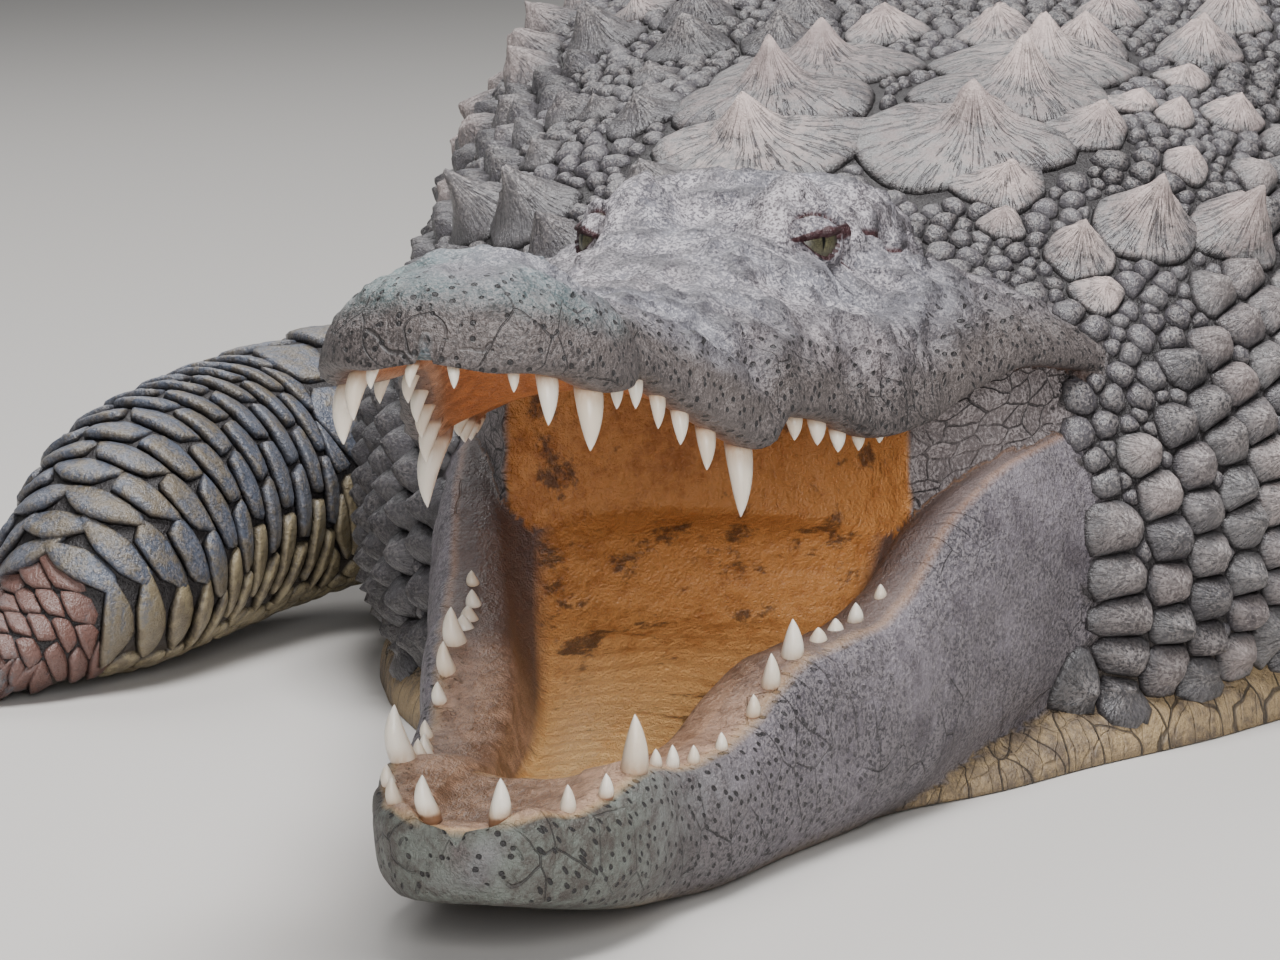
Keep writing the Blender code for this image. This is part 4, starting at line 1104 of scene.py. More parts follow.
sparse = times(tree, key["lower"], ramp(tree, key["lie_x"], 0.20, 0.38, 0.0, 0.85))
pores = times(tree, pores, maths(tree, "SUBTRACT", 1.0, sparse))
pores = times(tree, pores, ramp(tree, key["pores"], 0.10, 0.30))
cracks = cells(tree, stretched(tree, flow, (1.0, 0.55, 1.0)), 46, "DISTANCE_TO_EDGE")
cracks = ramp(tree, cracks, 0.004, 0.020, 0.9, 0.0)
in_patches = times_plus(tree, key["lie_x"], -0.3, texture["Broad"])
cracks = times(tree, cracks, ramp(tree, in_patches, 0.36, 0.50))
cracks = times(tree, cracks, ramp(tree, key["pores"], 0.15, 0.5))
lines = maths(tree, "MAXIMUM", cracks, times(tree, mosaic, key["wrinkles"]))
outer = mix(tree, times(tree, lines, 0.80), outer, CRACK)
outer = mix(tree, times(tree, pores, 0.95), outer, PORE)
# pale underside in large smooth scales
tiles = ramp(tree, cells(tree, flow, 34, "DISTANCE_TO_EDGE"), 0.006, 0.030, 1.0, 0.0)
under = blotched(*BELLY_SKIN, 0.48)
under = mix(tree, times(tree, tiles, 0.85), under, TILE_EDGE)
outer = mix(tree, key["belly"], outer, under)
# the creases between the scales of the body
crease = mix(tree, times(tree, key["belly"], 0.6), CREASE, BELLY_CREASE)
outer = mix(tree, key["scaled"], outer, crease)
# rims of the eyelids
outer = mix(tree, ramp(tree, key["lid"], 0.10, 0.55), outer, LID_EDGE)
# inside the mouth: a yellow floor with black blotches, a rust palate and brownish gums
depth = ramp(tree, key["lie_x"], 0.20, 0.45)
floor_of = blotched(*TONGUE_YELLOW, 0.42)
floor_of = mix(tree, depth, floor_of, blotched(*THROAT_ORANGE, 0.46))
roof_of = blotched(*PALATE_RUST, 0.47)
inner = mix(tree, key["upper"], floor_of, roof_of)
blots = noise(tree, stretched(tree, where, (1.5, 1, 1)), 26, 5.0, 0.72)
blots = maths(tree, "ADD", blots, times(tree, depth, 0.06))
blots = times(tree, ramp(tree, blots, 0.60, 0.70), times_plus(tree, key["upper"], -0.5, 1.0))
inner = mix(tree, times(tree, blots, 0.80), inner, BLOT)
gums = blotched(*GUM_PINK, 0.46)
gums = mix(tree, ramp(tree, key["lie_x"], 0.20, 0.33, 0.0, 0.92), gums, GUM_BEHIND)
gums = mix(tree, times(tree, texture["Fleck"], 0.25), gums, GUM_FLECK)
inner = mix(tree, times(tree, key["gum"], 0.95), inner, gums)
wet = ramp(tree, key["mouth"], 0.25, 0.75)
colour = mix(tree, maths(tree, "MAXIMUM", wet, times(tree, key["gum"], 0.8)), outer, inner)
feed(tree, shader.inputs["Base Color"], colour)
gloss = times_plus(tree, texture["Fine"], 0.3, wet)
feed(tree, shader.inputs["Roughness"], ramp(tree, gloss, 0.1, 1.2, 0.55, 0.38))
bony_share = times(tree, key["upper"], ramp(tree, key["pores"], 0.1, 0.7, 1.0, 0.15))
bony_share = times(tree, bony_share, maths(tree, "SUBTRACT", 1.0, wet))
knobs = times(tree, bony_share, ramp(tree, knob, 0.0, 0.75, 1.7, 0.0))
height = times_plus(tree, texture["Grit"], 0.5, times_plus(tree, texture["Fine"], 1.4, knobs))
height = times_plus(tree, maths(tree, "MAXIMUM", lines, pores), -0.8, height)
height = times_plus(tree, times(tree, tiles, key["belly"]), -0.8, height)
feed(tree, shader.inputs["Normal"], bump_of(tree, height, 0.0026, 1.0))
skin_mesh.materials.clear()
skin_mesh.materials.append(hide)

# ------------------------------------------------------------------ teeth
# Round ivory cones in sockets along both gums. The longest stand at the upper lip's two bulges and at the
# chin. Each is a little bowed, and stained tan where it leaves the gum.


def mesh_of(name, points, quads, tris, marks, patches=None):
    """A mesh object of smooth faces from arrays, with a value for each point under each mark's name, and a
    map from patches, the place of each point on the unwrapped skin."""
    mesh = bpy.data.meshes.new(name)
    corners = np.concatenate((quads.ravel(), tris.ravel())).astype(np.int32)
    starts = np.concatenate((np.arange(len(quads)) * 4, len(quads) * 4 + np.arange(len(tris)) * 3))
    mesh.vertices.add(len(points))
    mesh.vertices.foreach_set("co", points.astype(np.float32).ravel())
    mesh.loops.add(len(corners))
    mesh.loops.foreach_set("vertex_index", corners)
    mesh.polygons.add(len(starts))
    mesh.polygons.foreach_set("loop_start", starts.astype(np.int32))
    mesh.polygons.foreach_set("use_smooth", np.ones(len(starts), bool))
    mesh.update(calc_edges=True)
    for key, value in marks.items():
        kind, field = ("FLOAT_VECTOR", "vector") if value.ndim == 2 else ("FLOAT", "value")
        mesh.attributes.new(key, kind, "POINT").data.foreach_set(field, value.astype(np.float32).ravel())
    if patches is not None:
        mesh.uv_layers.new(name="OFBake").data.foreach_set("uv", patches[corners].astype(np.float32).ravel())
    made = bpy.data.objects.new(name, mesh)
    bpy.context.scene.collection.objects.link(made)
    return made


def capped_tubes(name, rings, marks, patches=None):
    """Many closed tubes from an array (tube, ring, place round the ring, xyz). Each ends in a fan at the
    middle of its first and last ring. marks and patches are arrays of the same first three sides."""
    tubes, levels, columns = rings.shape[:3]
    base = np.arange(tubes)[:, None, None] * (levels * columns + 2)
    at = base + np.arange(levels)[None, :, None] * columns + np.arange(columns)[None, None, :]
    after = np.roll(at, -1, axis=2)
    quads = np.stack((at[:, :-1], after[:, :-1], after[:, 1:], at[:, 1:]), -1).reshape(-1, 4)
    first, last = base[:, 0] + levels * columns, base[:, 0] + levels * columns + 1
    start = np.stack((after[:, 0], at[:, 0], first + 0 * at[:, 0]), -1).reshape(-1, 3)
    end = np.stack((at[:, -1], after[:, -1], last + 0 * at[:, -1]), -1).reshape(-1, 3)

    def with_ends(value):
        """The values of every tube's points, with the mean of its first and last ring after them."""
        flat = value.reshape(tubes, levels * columns, -1)
        ends = np.stack((value[:, 0].mean(1).reshape(tubes, -1), value[:, -1].mean(1).reshape(tubes, -1)), 1)
        return np.concatenate((flat, ends), 1).reshape(tubes * (levels * columns + 2), -1)

    listed = {key: with_ends(value) for key, value in marks.items()}
    listed = {key: value if value.shape[1] > 1 else value[:, 0] for key, value in listed.items()}
    return mesh_of(
        name, with_ends(rings), quads, np.concatenate((start, end)), listed,
        None if patches is None else with_ends(patches),
    )


TOOTH_ROOT, TOOTH_SIDES, TOOTH_RINGS = 0.22, 14, 15
TOOTH_SLIMNESS, HANGING_LENGTH = 0.86, 0.92


def row_of_teeth(teeth, gum_heights, way, place):
    """Rings of the teeth on both sides of a jaw. way is 1 for teeth that stand and -1 for teeth that hang."""
    x, y, length, radius = (np.array(column)[:, None] for column in zip(*teeth))
    gum = profile(gum_heights, x)
    radius, length = radius * TOOTH_SLIMNESS, length * (1.0 if way > 0 else HANGING_LENGTH)
    t = 1 - (1 - np.linspace(0, 1, TOOTH_RINGS)[None, :]) ** 1.3
    reach = (1 + TOOTH_ROOT) * t - TOOTH_ROOT
    thick = radius * 1.08 * (1 - np.clip(reach, 0, 1) ** 1.9) ** 0.80
    thick = np.maximum(thick, radius * 0.03)
    bow = 0.10 * length * np.clip(reach, 0, 1) * (1 - np.clip(reach, 0, 1)) * 4
    line_x = x - 0.05 * length * reach - bow * 0.8
    line_y = y + 0.10 * length * reach + bow * 0.5
    line_z = gum + way * (length * reach + 0.001)
    round_about = np.linspace(0, 2 * math.pi, TOOTH_SIDES + 1)[:-1]
    rings = np.stack(
        (
            line_x[..., None] + thick[..., None] * np.cos(round_about),
            line_y[..., None] + thick[..., None] * 0.9 * np.sin(round_about) * way,
            line_z[..., None] + 0 * round_about,
        ),
        -1,
    )
    both = np.concatenate((rings, (rings * (1, -1, 1))[:, :, ::-1]))
    rise = np.tile(np.broadcast_to(reach[..., None], rings.shape[:3]), (2, 1, 1))
    tooth = np.arange(len(both))[:, None, None] + 0 * rise
    return place(both), {"rise": rise, "tone": (tooth * 0.618) % 1.0}


FRESH_IVORY, OLD_IVORY, IVORY_TIP = (0.80, 0.74, 0.64), (0.68, 0.58, 0.46), (0.86, 0.82, 0.76)
TAN_STAIN, ROOT_STAIN = (0.42, 0.24, 0.12), (0.22, 0.11, 0.06)

ivory, tree, shader = material("ivory")
rise, tone, where = mark(tree, "rise"), mark(tree, "tone"), place_on(tree)
streak = noise(tree, stretched(tree, where, (1, 1, 0.15)), 420)
colour = mix(tree, ramp(tree, tone, 0, 1), FRESH_IVORY, OLD_IVORY)
stain = ramp(tree, rise, 0.0, 0.42, 1.0, 0.0)
stain = times(tree, stain, ramp(tree, streak, 0.30, 0.65, 0.55, 1.0))
colour = mix(tree, times(tree, stain, 0.75), colour, TAN_STAIN)
root = ramp(tree, maths(tree, "ADD", rise, times(tree, streak, 0.12)), 0.02, 0.16, 1.0, 0.0)
colour = mix(tree, root, colour, ROOT_STAIN)
colour = mix(tree, ramp(tree, rise, 0.75, 1.0, 0.0, 0.5), colour, IVORY_TIP)
feed(tree, shader.inputs["Base Color"], colour)
feed(tree, shader.inputs["Roughness"], ramp(tree, streak, 0.3, 0.7, 0.26, 0.42))
shader.inputs["Subsurface Weight"].default_value = 0.15
shader.inputs["Subsurface Radius"].default_value = (0.004, 0.003, 0.002)
shader.inputs["Subsurface Scale"].default_value = 1.0
feed(tree, shader.inputs["Normal"], bump_of(tree, streak, 0.0004, 0.5))

for name, teeth, gums, way, opened in (
    ("upper_teeth", UPPER_TEETH, UPPER_LIP, -1, lifted),
    ("lower_teeth", LOWER_TEETH, LOWER_GUM, 1, np.asarray),
):
    rings, marks = row_of_teeth(teeth, gums, way, opened)
    row = capped_tubes(name, jaw_in_world(rings), marks)
    row.data.materials.append(ivory)
    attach(row, "root")

# ------------------------------------------------------------------ eyes
# Balls with an olive iris, finely mottled, and a pupil that is a thin upright slit in daylight.

GAZE = 0.26  # how far forward of the ball's middle the pupil stands, for a ball of radius 1
IRIS_DARK, IRIS_OLIVE, IRIS_RIM = (0.045, 0.042, 0.026), (0.125, 0.115, 0.065), (0.060, 0.055, 0.045)
ROUND_IRIS, PUPIL = (0.05, 0.028, 0.02), (0.004, 0.004, 0.004)

glaze, tree, shader = material("eye")
across, above = maths(tree, "SUBTRACT", mark(tree, "eye_across"), GAZE), mark(tree, "eye_above")
bowed = maths(tree, "POWER", maths(tree, "ABSOLUTE", above), 2.0)
slit = maths(tree, "ADD", maths(tree, "ABSOLUTE", across), times(tree, bowed, 0.35))
pupil = ramp(tree, slit, 0.035, 0.080, 1.0, 0.0)
squares = maths(tree, "ADD", maths(tree, "POWER", across, 2.0), maths(tree, "POWER", above, 2.0))
radius = maths(tree, "SQRT", squares)
fleck = noise(tree, place_on(tree), 900, 4.0, 0.7)
colour = mix(tree, ramp(tree, fleck, 0.35, 0.65), IRIS_DARK, IRIS_OLIVE)
colour = mix(tree, ramp(tree, radius, 0.25, 0.65, 0.0, 0.85), colour, IRIS_RIM)
colour = mix(tree, ramp(tree, radius, 0.72, 0.85), colour, ROUND_IRIS)
colour = mix(tree, pupil, colour, PUPIL)
feed(tree, shader.inputs["Base Color"], colour)
shader.inputs["Roughness"].default_value = 0.32
shader.inputs["Specular IOR Level"].default_value = 0.3

for side, name in ((1, "left_eye"), (-1, "right_eye")):
    mirror = np.array((1, side, 1))
    out, along, up = eye_ways()
    lean = np.linspace(0, math.pi, 34)[1:-1][None, :, None, None]
    turn = np.linspace(0, 2 * math.pi, 41)[:-1][None, None, :, None]
    ball = out * np.cos(lean) + (along * np.cos(turn) + up * np.sin(turn)) * np.sin(lean)
    marks = {"eye_across": ball @ along, "eye_above": ball @ up}
    rings = jaw_in_world(lifted((EYE + ball * EYE_RADIUS) * mirror))
    marks = {key: value[:, :, ::-side] for key, value in marks.items()}
    eye = capped_tubes(name + "_ball", rings[:, :, ::-side], marks)
    eye.data.materials.append(glaze)
    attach(eye, "root")
    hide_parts(name)

# ------------------------------------------------------------------ claws
# Stout curved horn, grey and worn, growing out of the inner three toes of each foot.

HORN_DARK, HORN_PALE, HORN_ROOT = (0.16, 0.135, 0.125), (0.33, 0.28, 0.25), (0.30, 0.15, 0.11)
CLAW_RADIUS, CLAW_ARCH = 0.0088, 0.30

horn, tree, shader = material("horn")
rise, where = mark(tree, "rise"), place_on(tree)
worn = noise(tree, where, 220, 4.0, 0.6)
colour = mix(tree, ramp(tree, worn, 0.3, 0.7), HORN_DARK, HORN_PALE)
colour = mix(tree, ramp(tree, rise, 0.1, 0.45, 0.7, 0.0), colour, HORN_ROOT)
feed(tree, shader.inputs["Base Color"], colour)
feed(tree, shader.inputs["Roughness"], ramp(tree, worn, 0.3, 0.7, 0.35, 0.6))
feed(tree, shader.inputs["Normal"], bump_of(tree, worn, 0.0008, 0.6))

root, tip, size = (np.array(column, float) for column in zip(*claw_roots))
t = np.linspace(0, 1, 13)[None, :, None]
line = root[:, None] + (tip - root)[:, None] * t
line[..., 2] += CLAW_ARCH * np.linalg.norm(tip - root, axis=1)[:, None] * (t * (1 - t))[..., 0]
ahead = np.gradient(line, axis=1)
ahead /= np.linalg.norm(ahead, axis=2, keepdims=True)
beside = np.cross(ahead, (0, 0, 1))
beside /= np.linalg.norm(beside, axis=2, keepdims=True)
over = np.cross(beside, ahead)
thick = size[:, None, None] * CLAW_RADIUS * np.maximum(1 - t**1.5, 0.03) ** 0.8
turn = np.linspace(0, 2 * math.pi, 15)[:-1]
rings = (
    line[:, :, None]
    + (beside * thick)[:, :, None] * 0.85 * np.cos(turn)[:, None]
    + (over * thick)[:, :, None] * np.sin(turn)[:, None]
)
rings = in_world(rings)
rings[..., 2] = np.maximum(rings[..., 2], 0.0006)
claws = capped_tubes("claws", rings[:, :, ::-1], {"rise": np.broadcast_to(t, rings.shape[:3])})
claws.data.materials.append(horn)
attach(claws, "root")
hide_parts(*(f"{foot}_claw_{k}" for foot in LEGS for k in (1, 2, 3)))

# ------------------------------------------------------------------ scales of the back, neck and flanks
# Horny scales lie edge to edge with dark creases between them. High cones stand on the neck's shield, keeled
# scutes in rows along the back, round beads and squarish plates on the sides, and flat tiles underneath.


def unit(vectors):
    """The vectors at length 1."""
    return vectors / np.maximum(np.linalg.norm(vectors, axis=-1, keepdims=True), 1e-9)


def half_girth_at(surface, along):
    """Half the girth of a surface at places along it."""
    return np.interp(along, surface["along"], surface["half_girth"])


def on_surface(surface, along, girth):
    """Points and outward normals at distances along and round a surface, between the points of its grid."""
    rows, columns = surface["points"].shape[:2]
    row = np.clip(np.interp(along, surface["along"], np.arange(rows)), 0, rows - 1.001)
    column = np.clip((girth / half_girth_at(surface, along) + 1) / 2 * (columns - 1), 0, columns - 1.001)
    i, j = row.astype(int), column.astype(int)
    u, v = (row - i)[..., None], (column - j)[..., None]
    found = []
    for field in ("points", "normals"):
        grid = surface[field]
        near = grid[i, j] * (1 - v) + grid[i, j + 1] * v
        far = grid[i + 1, j] * (1 - v) + grid[i + 1, j + 1] * v
        found.append(near * (1 - u) + far * u)
    return found[0], unit(found[1])


def close_by(along, others, window=0.10, batch=300):
    """Pairs of lists: some spots in order of their place along, and the others that may touch them."""
    mine, theirs = np.argsort(along), np.argsort(others)
    for start in range(0, len(mine), batch):
        some = mine[start : start + batch]
        low, high = np.searchsorted(others[theirs], (along[some[0]] - window, along[some[-1]] + window))
        yield some, theirs[low:high]


KINDS = (
    "along", "girth", "size", "height", "keel", "cone", "tilt", "flat", "dusty", "dark", "pale", "mud",
    "broad",
)
ALONG, GIRTH, SIZE, CONE, BROAD = (KINDS.index(kind) for kind in ("along", "girth", "size", "cone", "broad"))
NEIGHBOURS = 20


def cell_reach(stand, table, angles, gap, sharpness, most=1.6):
    """How far each scale reaches each way, in the plane it stands on, before it meets its neighbours.
    Between two scales the border lies nearer the smaller, and corners are rounded, the less the sharper.
    Where scales are broad, everything is measured on a plane that is squeezed the way round."""
    along, size, wide = table[:, ALONG], table[:, SIZE], 1 + table[:, BROAD]
    reach = np.empty((len(size), len(angles)))
    ways = np.stack((np.cos(angles), np.sin(angles)), 0)
    for mine, others in close_by(along, along):
        offset = stand["middle"][None, others] - stand["middle"][mine, None]
        far = np.linalg.norm(offset, axis=-1)
        order = np.argpartition(far, min(NEIGHBOURS, len(others) - 1), axis=1)[:, :NEIGHBOURS]
        far = np.take_along_axis(far, order, 1)
        offset = np.take_along_axis(offset, order[..., None], 1)
        flat = np.stack([(offset * stand[way][mine, None]).sum(-1) for way in ("back", "round")], -1)
        squeezed = flat / np.stack((1 + 0 * wide[mine], wide[mine]), -1)[:, None]
        length = np.linalg.norm(squeezed, axis=-1)
        far = far * length / np.maximum(np.linalg.norm(flat, axis=-1), 1e-9)
        share = size[mine, None] / (size[mine, None] + size[others[order]])
        toward = (squeezed / np.maximum(length, 1e-9)[..., None]) @ ways
        border = (far * share)[..., None] / np.maximum(toward, 0.02)
        border = np.where((toward > 0.02) & (far[..., None] > 1e-6), border, 1e3)
        own = (most * size[mine])[:, None]
        reach[mine] = ((border**-sharpness).sum(1) + own**-sharpness) ** (-1 / sharpness)
    return np.maximum(reach - gap / 2, 0.0006)


def spots(along, girth, size, **shape):
    """Where scales stand and how they are shaped: a table with a column for each kind of value."""
    along, girth = np.broadcast_arrays(np.asarray(along, float), np.asarray(girth, float))
    table = np.zeros((along.size, len(KINDS)))
    for key, value in {"along": along, "girth": girth, "size": size, **shape}.items():
        table[:, KINDS.index(key)] = np.broadcast_to(value, along.shape).ravel()
    return table


def apart(surface, table, others, clear=0.95):
    """The spots that keep clear of others by their sizes."""
    keep = np.ones(len(table), bool)
    mine, theirs = (on_surface(surface, spot[:, ALONG], spot[:, GIRTH])[0] for spot in (table, others))
    for some, near in close_by(table[:, ALONG], others[:, ALONG]):
        far = np.linalg.norm(mine[some, None] - theirs[None, near], axis=-1)
        keep[some] = (far > clear * (table[some, None, SIZE] + others[None, near, SIZE])).all(1)
    return table[keep]


def thinned(surface, table, clear, rounds=3):
    """The spots left when one of each pair that stands too close is taken away."""
    for _ in range(rounds):
        rank = rng.permutation(len(table))
        place = on_surface(surface, table[:, ALONG], table[:, GIRTH])[0]
        keep = np.ones(len(table), bool)
        for some, near in close_by(table[:, ALONG], table[:, ALONG]):
            far = np.linalg.norm(place[some, None] - place[None, near], axis=-1)
            first = rank[near][None] < rank[some][:, None]
            keep[some] = ~((far < clear * table[some, None, SIZE]) & first).any(1)
        table = table[keep]
    return table


def lattice(start, end, step, low, high, across, shake=0.0):
    """Staggered rows of places from start to end along, and low to high round."""
    rows = np.arange(start, end, step)
    columns = np.arange(low, high, across)
    along, girth = np.meshgrid(rows, columns, indexing="ij")
    girth = girth + across / 2 * (np.arange(len(rows)) % 2)[:, None]
    along = along + rng.uniform(-shake, shake, along.shape) * step
    girth = girth + rng.uniform(-shake, shake, girth.shape) * across
    return along.ravel(), girth.ravel()


def evened(surface, start, end, step, share):
    """Places along a surface that lie a step apart on the line at a share of its girth."""
    fine = np.linspace(start, end, 200)
    line = on_surface(surface, fine, share * half_girth_at(surface, fine))[0]
    length = np.concatenate(((0,), np.cumsum(np.linalg.norm(np.diff(line, axis=0), axis=1))))
    return np.interp(np.arange(0, length[-1], step), length, fine)


def paired(rows, columns):
    """Every row with every column, as two lists."""
    return (v.ravel() for v in np.meshgrid(rows, columns, indexing="ij"))


def standing(surface, table, slack, step=0.004):
    """The spots whose middles lie near the scaly part of the joined skin, and where they stand on it:
    the middle, and the directions back, round and outward."""
    along, girth = table[:, ALONG], table[:, GIRTH]
    middle = on_surface(surface, along, girth)[0]
    grown = half_girth_at(surface, along + step)
    behind = on_surface(surface, along + step, girth * grown / half_girth_at(surface, along))[0]
    near = nearest_on(middle, skin, ("scaled",))
    keep = (np.linalg.norm(near["place"] - middle, axis=-1) < slack) & (near["scaled"] > 0.5)
    out = near["outward"][keep]
    back = (behind - middle)[keep]
    back = unit(back - (back * out).sum(-1, keepdims=True) * out)
    return table[keep], {
        "middle": near["place"][keep], "back": back, "round": np.cross(back, out), "out": out
    }


CROWN_LEAN = 0.22
RIM_SHARE, RIM_LEVEL, FOOT_LEVEL, DOME_LEVEL = 0.97, -0.0030, -0.0004, 0.0004
PATCH_RADIUS = 0.0015
UNWRAP_WIDTH, UNWRAP_MIDDLE = 5.0, 0.3


def scale_shells(name, table, stand, reach, angles, levels):
    """A closed dome for each spot. Rings of points go from a rim sunk in the skin up over the shoulder of
    the scale to its crown, which leans back on a keeled one. Each dome is a small round patch on the
    unwrapped body, at the spot's own place along and round it."""
    column = {key: table[:, k][:, None, None] for k, key in enumerate(KINDS)}
    share = np.array((RIM_SHARE, *levels))[None, :, None]
    peaked = np.clip(column["cone"] * 40 + column["keel"] * 30, 0, 1)
    size = column["size"]
    lean = CROWN_LEAN * size * peaked * (1 - share)
    p = reach[:, None] * share * np.cos(angles) + lean
    q = reach[:, None] * share * np.sin(angles) * (1 + column["broad"])
    shoulder = np.clip(1 - share ** (2.0 + 4.6 * column["flat"]), 0, 1) ** (0.62 - 0.2 * column["flat"])
    height = column["height"] * shoulder * np.clip(1 + column["tilt"] * p / size, 0.25, 2.2)
    ridge = bell(q, 0.24 * size) + 0.35 * bell(q, 0.6 * size)
    ridge = ridge * (0.55 + 0.45 * np.clip(p / size, -1, 1)) * (1 - share**2)
    height = height + column["keel"] * ridge
    from_peak = np.hypot(p - CROWN_LEAN * size, q) / size
    spread_of = np.clip(0.025 / size, 0.30, 0.85)
    peak = 0.80 * np.clip(1 - from_peak / spread_of, 0, 1) ** 1.35
    peak = peak + 0.20 * np.clip(1 - from_peak / 1.1, 0, 1)
    height = height + column["cone"] * peak * (1 - share**8)
    level = np.array((RIM_LEVEL, FOOT_LEVEL, *np.full(len(levels) - 1, DOME_LEVEL)))[None, :, None]
    middle, back, across, out = (stand[key][:, None, None] for key in ("middle", "back", "round", "out"))
    near = nearest_on(middle + p[..., None] * back + q[..., None] * across, skin, ())
    points, normals = near["place"], unit(near["outward"] + 0.8 * out)
    uneven = 1 + 0.16 * lumps(points, 0.011, 9) + 0.10 * lumps(points, 0.004, 10)
    points = points + normals * (level + height * uneven)[..., None]
    points[..., 2] = np.maximum(points[..., 2], 0.0005)
    seed = rng.uniform(0, 1, len(table))[:, None, None]
    full = np.maximum(column["height"] + column["keel"] + column["cone"], 1e-6)
    marks = {
        "rise": np.clip(height / full, 0, 1),
        "rim": share + 0 * p,
        "tone": seed + 0 * p,
        "peak": np.clip((column["cone"] + column["keel"]) * 60, 0, 1) + 0 * p,
        "spoke": np.stack(
            [part + 0 * p for part in (np.cos(angles), np.sin(angles), 9 * seed + 0.25 * share)], -1
        ),
    }
    marks.update({key: column[key] + 0 * p for key in ("dusty", "dark", "pale", "mud")})
    marks = {key: value[:, :, ::-1] for key, value in marks.items()}
    root = np.concatenate((column["along"], column["girth"]), -1)[:, :, None, :] / UNWRAP_WIDTH
    around = np.stack((np.cos(angles), np.sin(angles)), -1)[None, None] * (PATCH_RADIUS * share)[..., None]
    patches = root + (0, UNWRAP_MIDDLE) + around
    shells = capped_tubes(name, points[:, :, ::-1], marks, patches[:, :, ::-1])
    shells.data.materials.append(scale_hide)
    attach(shells, "root")


def coat(surface, table, sorts, gap=0.0003, sharpness=14.0, slack=0.022):
    """Scales over a surface, each sort of them as one joined piece: its name, which of the spots it takes,
    and the corners and rings of each scale."""
    table, stand = standing(surface, table, slack)
    for name, chosen, corners, levels in sorts:
        angles = np.linspace(0, 2 * math.pi, corners + 1)[:-1]
        which = chosen(table)
        reach = cell_reach(stand, table, angles, gap, sharpness)[which]
        chosen_stand = {key: value[which] for key, value in stand.items()}
        scale_shells(name, table[which], chosen_stand, reach, angles, levels)


WARM_SLATE = (0.080, 0.074, 0.082), (0.020, 0.018, 0.021)
BLUE_SLATE = (0.088, 0.100, 0.132), (0.018, 0.021, 0.031)
DRAB = (0.165, 0.160, 0.160), (0.062, 0.060, 0.065)
SAND = (0.56, 0.450, 0.420), (0.31, 0.245, 0.235)
PALE_SCALE = (0.31, 0.255, 0.155), (0.150, 0.120, 0.080)
SCALE_FLECK, FURROW = (0.46, 0.415, 0.400), (0.10, 0.092, 0.10)
EARTH, SCALE_EDGE = (0.165, 0.080, 0.062), (0.022, 0.019, 0.020)

scale_hide, tree, shader = material("scale_hide")
where = place_on(tree)
key = {name: mark(tree, name) for name in ("rise", "rim", "tone", "dusty", "dark", "pale", "mud", "peak")}
texture = placed(tree, grain, Vector=where)
blue = ramp(tree, key["pale"], 0.05, 0.28)
slate = mix(tree, blue, blotched(*WARM_SLATE, 0.50), blotched(*BLUE_SLATE, 0.50))
darkness = times_plus(tree, key["tone"], 0.5, maths(tree, "SUBTRACT", key["dark"], 0.25), clamp=True)
colour = mix(tree, darkness, blotched(*DRAB, 0.49), slate)
fleck = times(tree, texture["Fleck"], ramp(tree, key["rise"], 0.1, 0.9, 0.15, 1.0))
fleck = times(tree, fleck, times_plus(tree, key["dusty"], 0.85, 0.10))
colour = mix(tree, fleck, colour, SCALE_FLECK)
rays = noise(tree, stretched(tree, mark(tree, "spoke", "Vector"), (7.0, 7.0, 4.0)), 2.6, 2.0, 0.7)
strokes = times_plus(tree, texture["Fine"], 0.25, times(tree, rays, 0.75))
furrow = ramp(tree, strokes, 0.40, 0.47, 1.0, 0.0)
furrow = times(tree, times(tree, furrow, ramp(tree, key["rim"], 0.02, 0.30)), key["peak"])
worn = times_plus(tree, key["rise"], 0.5, times(tree, texture["Fine"], 0.7))
worn = times(tree, ramp(tree, worn, 0.34, 0.74), ramp(tree, key["dusty"], 0.3, 1.0), clamp=True)
colour = mix(tree, worn, colour, blotched(*SAND, 0.48))
colour = mix(tree, times(tree, furrow, 0.75), colour, FURROW)
pale = ramp(tree, times_plus(tree, texture["Mottle"], 1.4, key["pale"]), 0.95, 1.25)
colour = mix(tree, pale, colour, blotched(*PALE_SCALE, 0.47))
soil = times(tree, key["mud"], ramp(tree, texture["Mottle"], 0.36, 0.50))
colour = mix(tree, times(tree, soil, 0.75), colour, EARTH)
edge = ramp(tree, times_plus(tree, texture["Fine"], 0.10, key["rim"]), 0.96, 1.06)
colour = mix(tree, times(tree, edge, 0.9), colour, SCALE_EDGE)
feed(tree, shader.inputs["Base Color"], colour)
gloss = times_plus(tree, texture["Fine"], 0.3, worn)
feed(tree, shader.inputs["Roughness"], ramp(tree, gloss, 0.0, 1.0, 0.34, 0.75))
height = times_plus(tree, texture["Grit"], 0.4, times(tree, texture["Fine"], 0.9))
height = times_plus(tree, furrow, -0.9, height)
feed(tree, shader.inputs["Normal"], bump_of(tree, height, 0.0022, 1.0))

rng = np.random.default_rng(7)

PLATE_HEIGHT, SCUTE_HEIGHT = 0.0045, 0.0045
# (back, girth, size, height of cone) of the shield's own plates, left then right
SHIELD = (
    (0.732, 0.075, 0.080, 0.030), (0.797, 0.088, 0.080, 0.034), (0.893, 0.080, 0.080, 0.030),
    (0.718, -0.058, 0.080, 0.028), (0.782, -0.062, 0.080, 0.030), (0.872, -0.056, 0.080, 0.026),
)
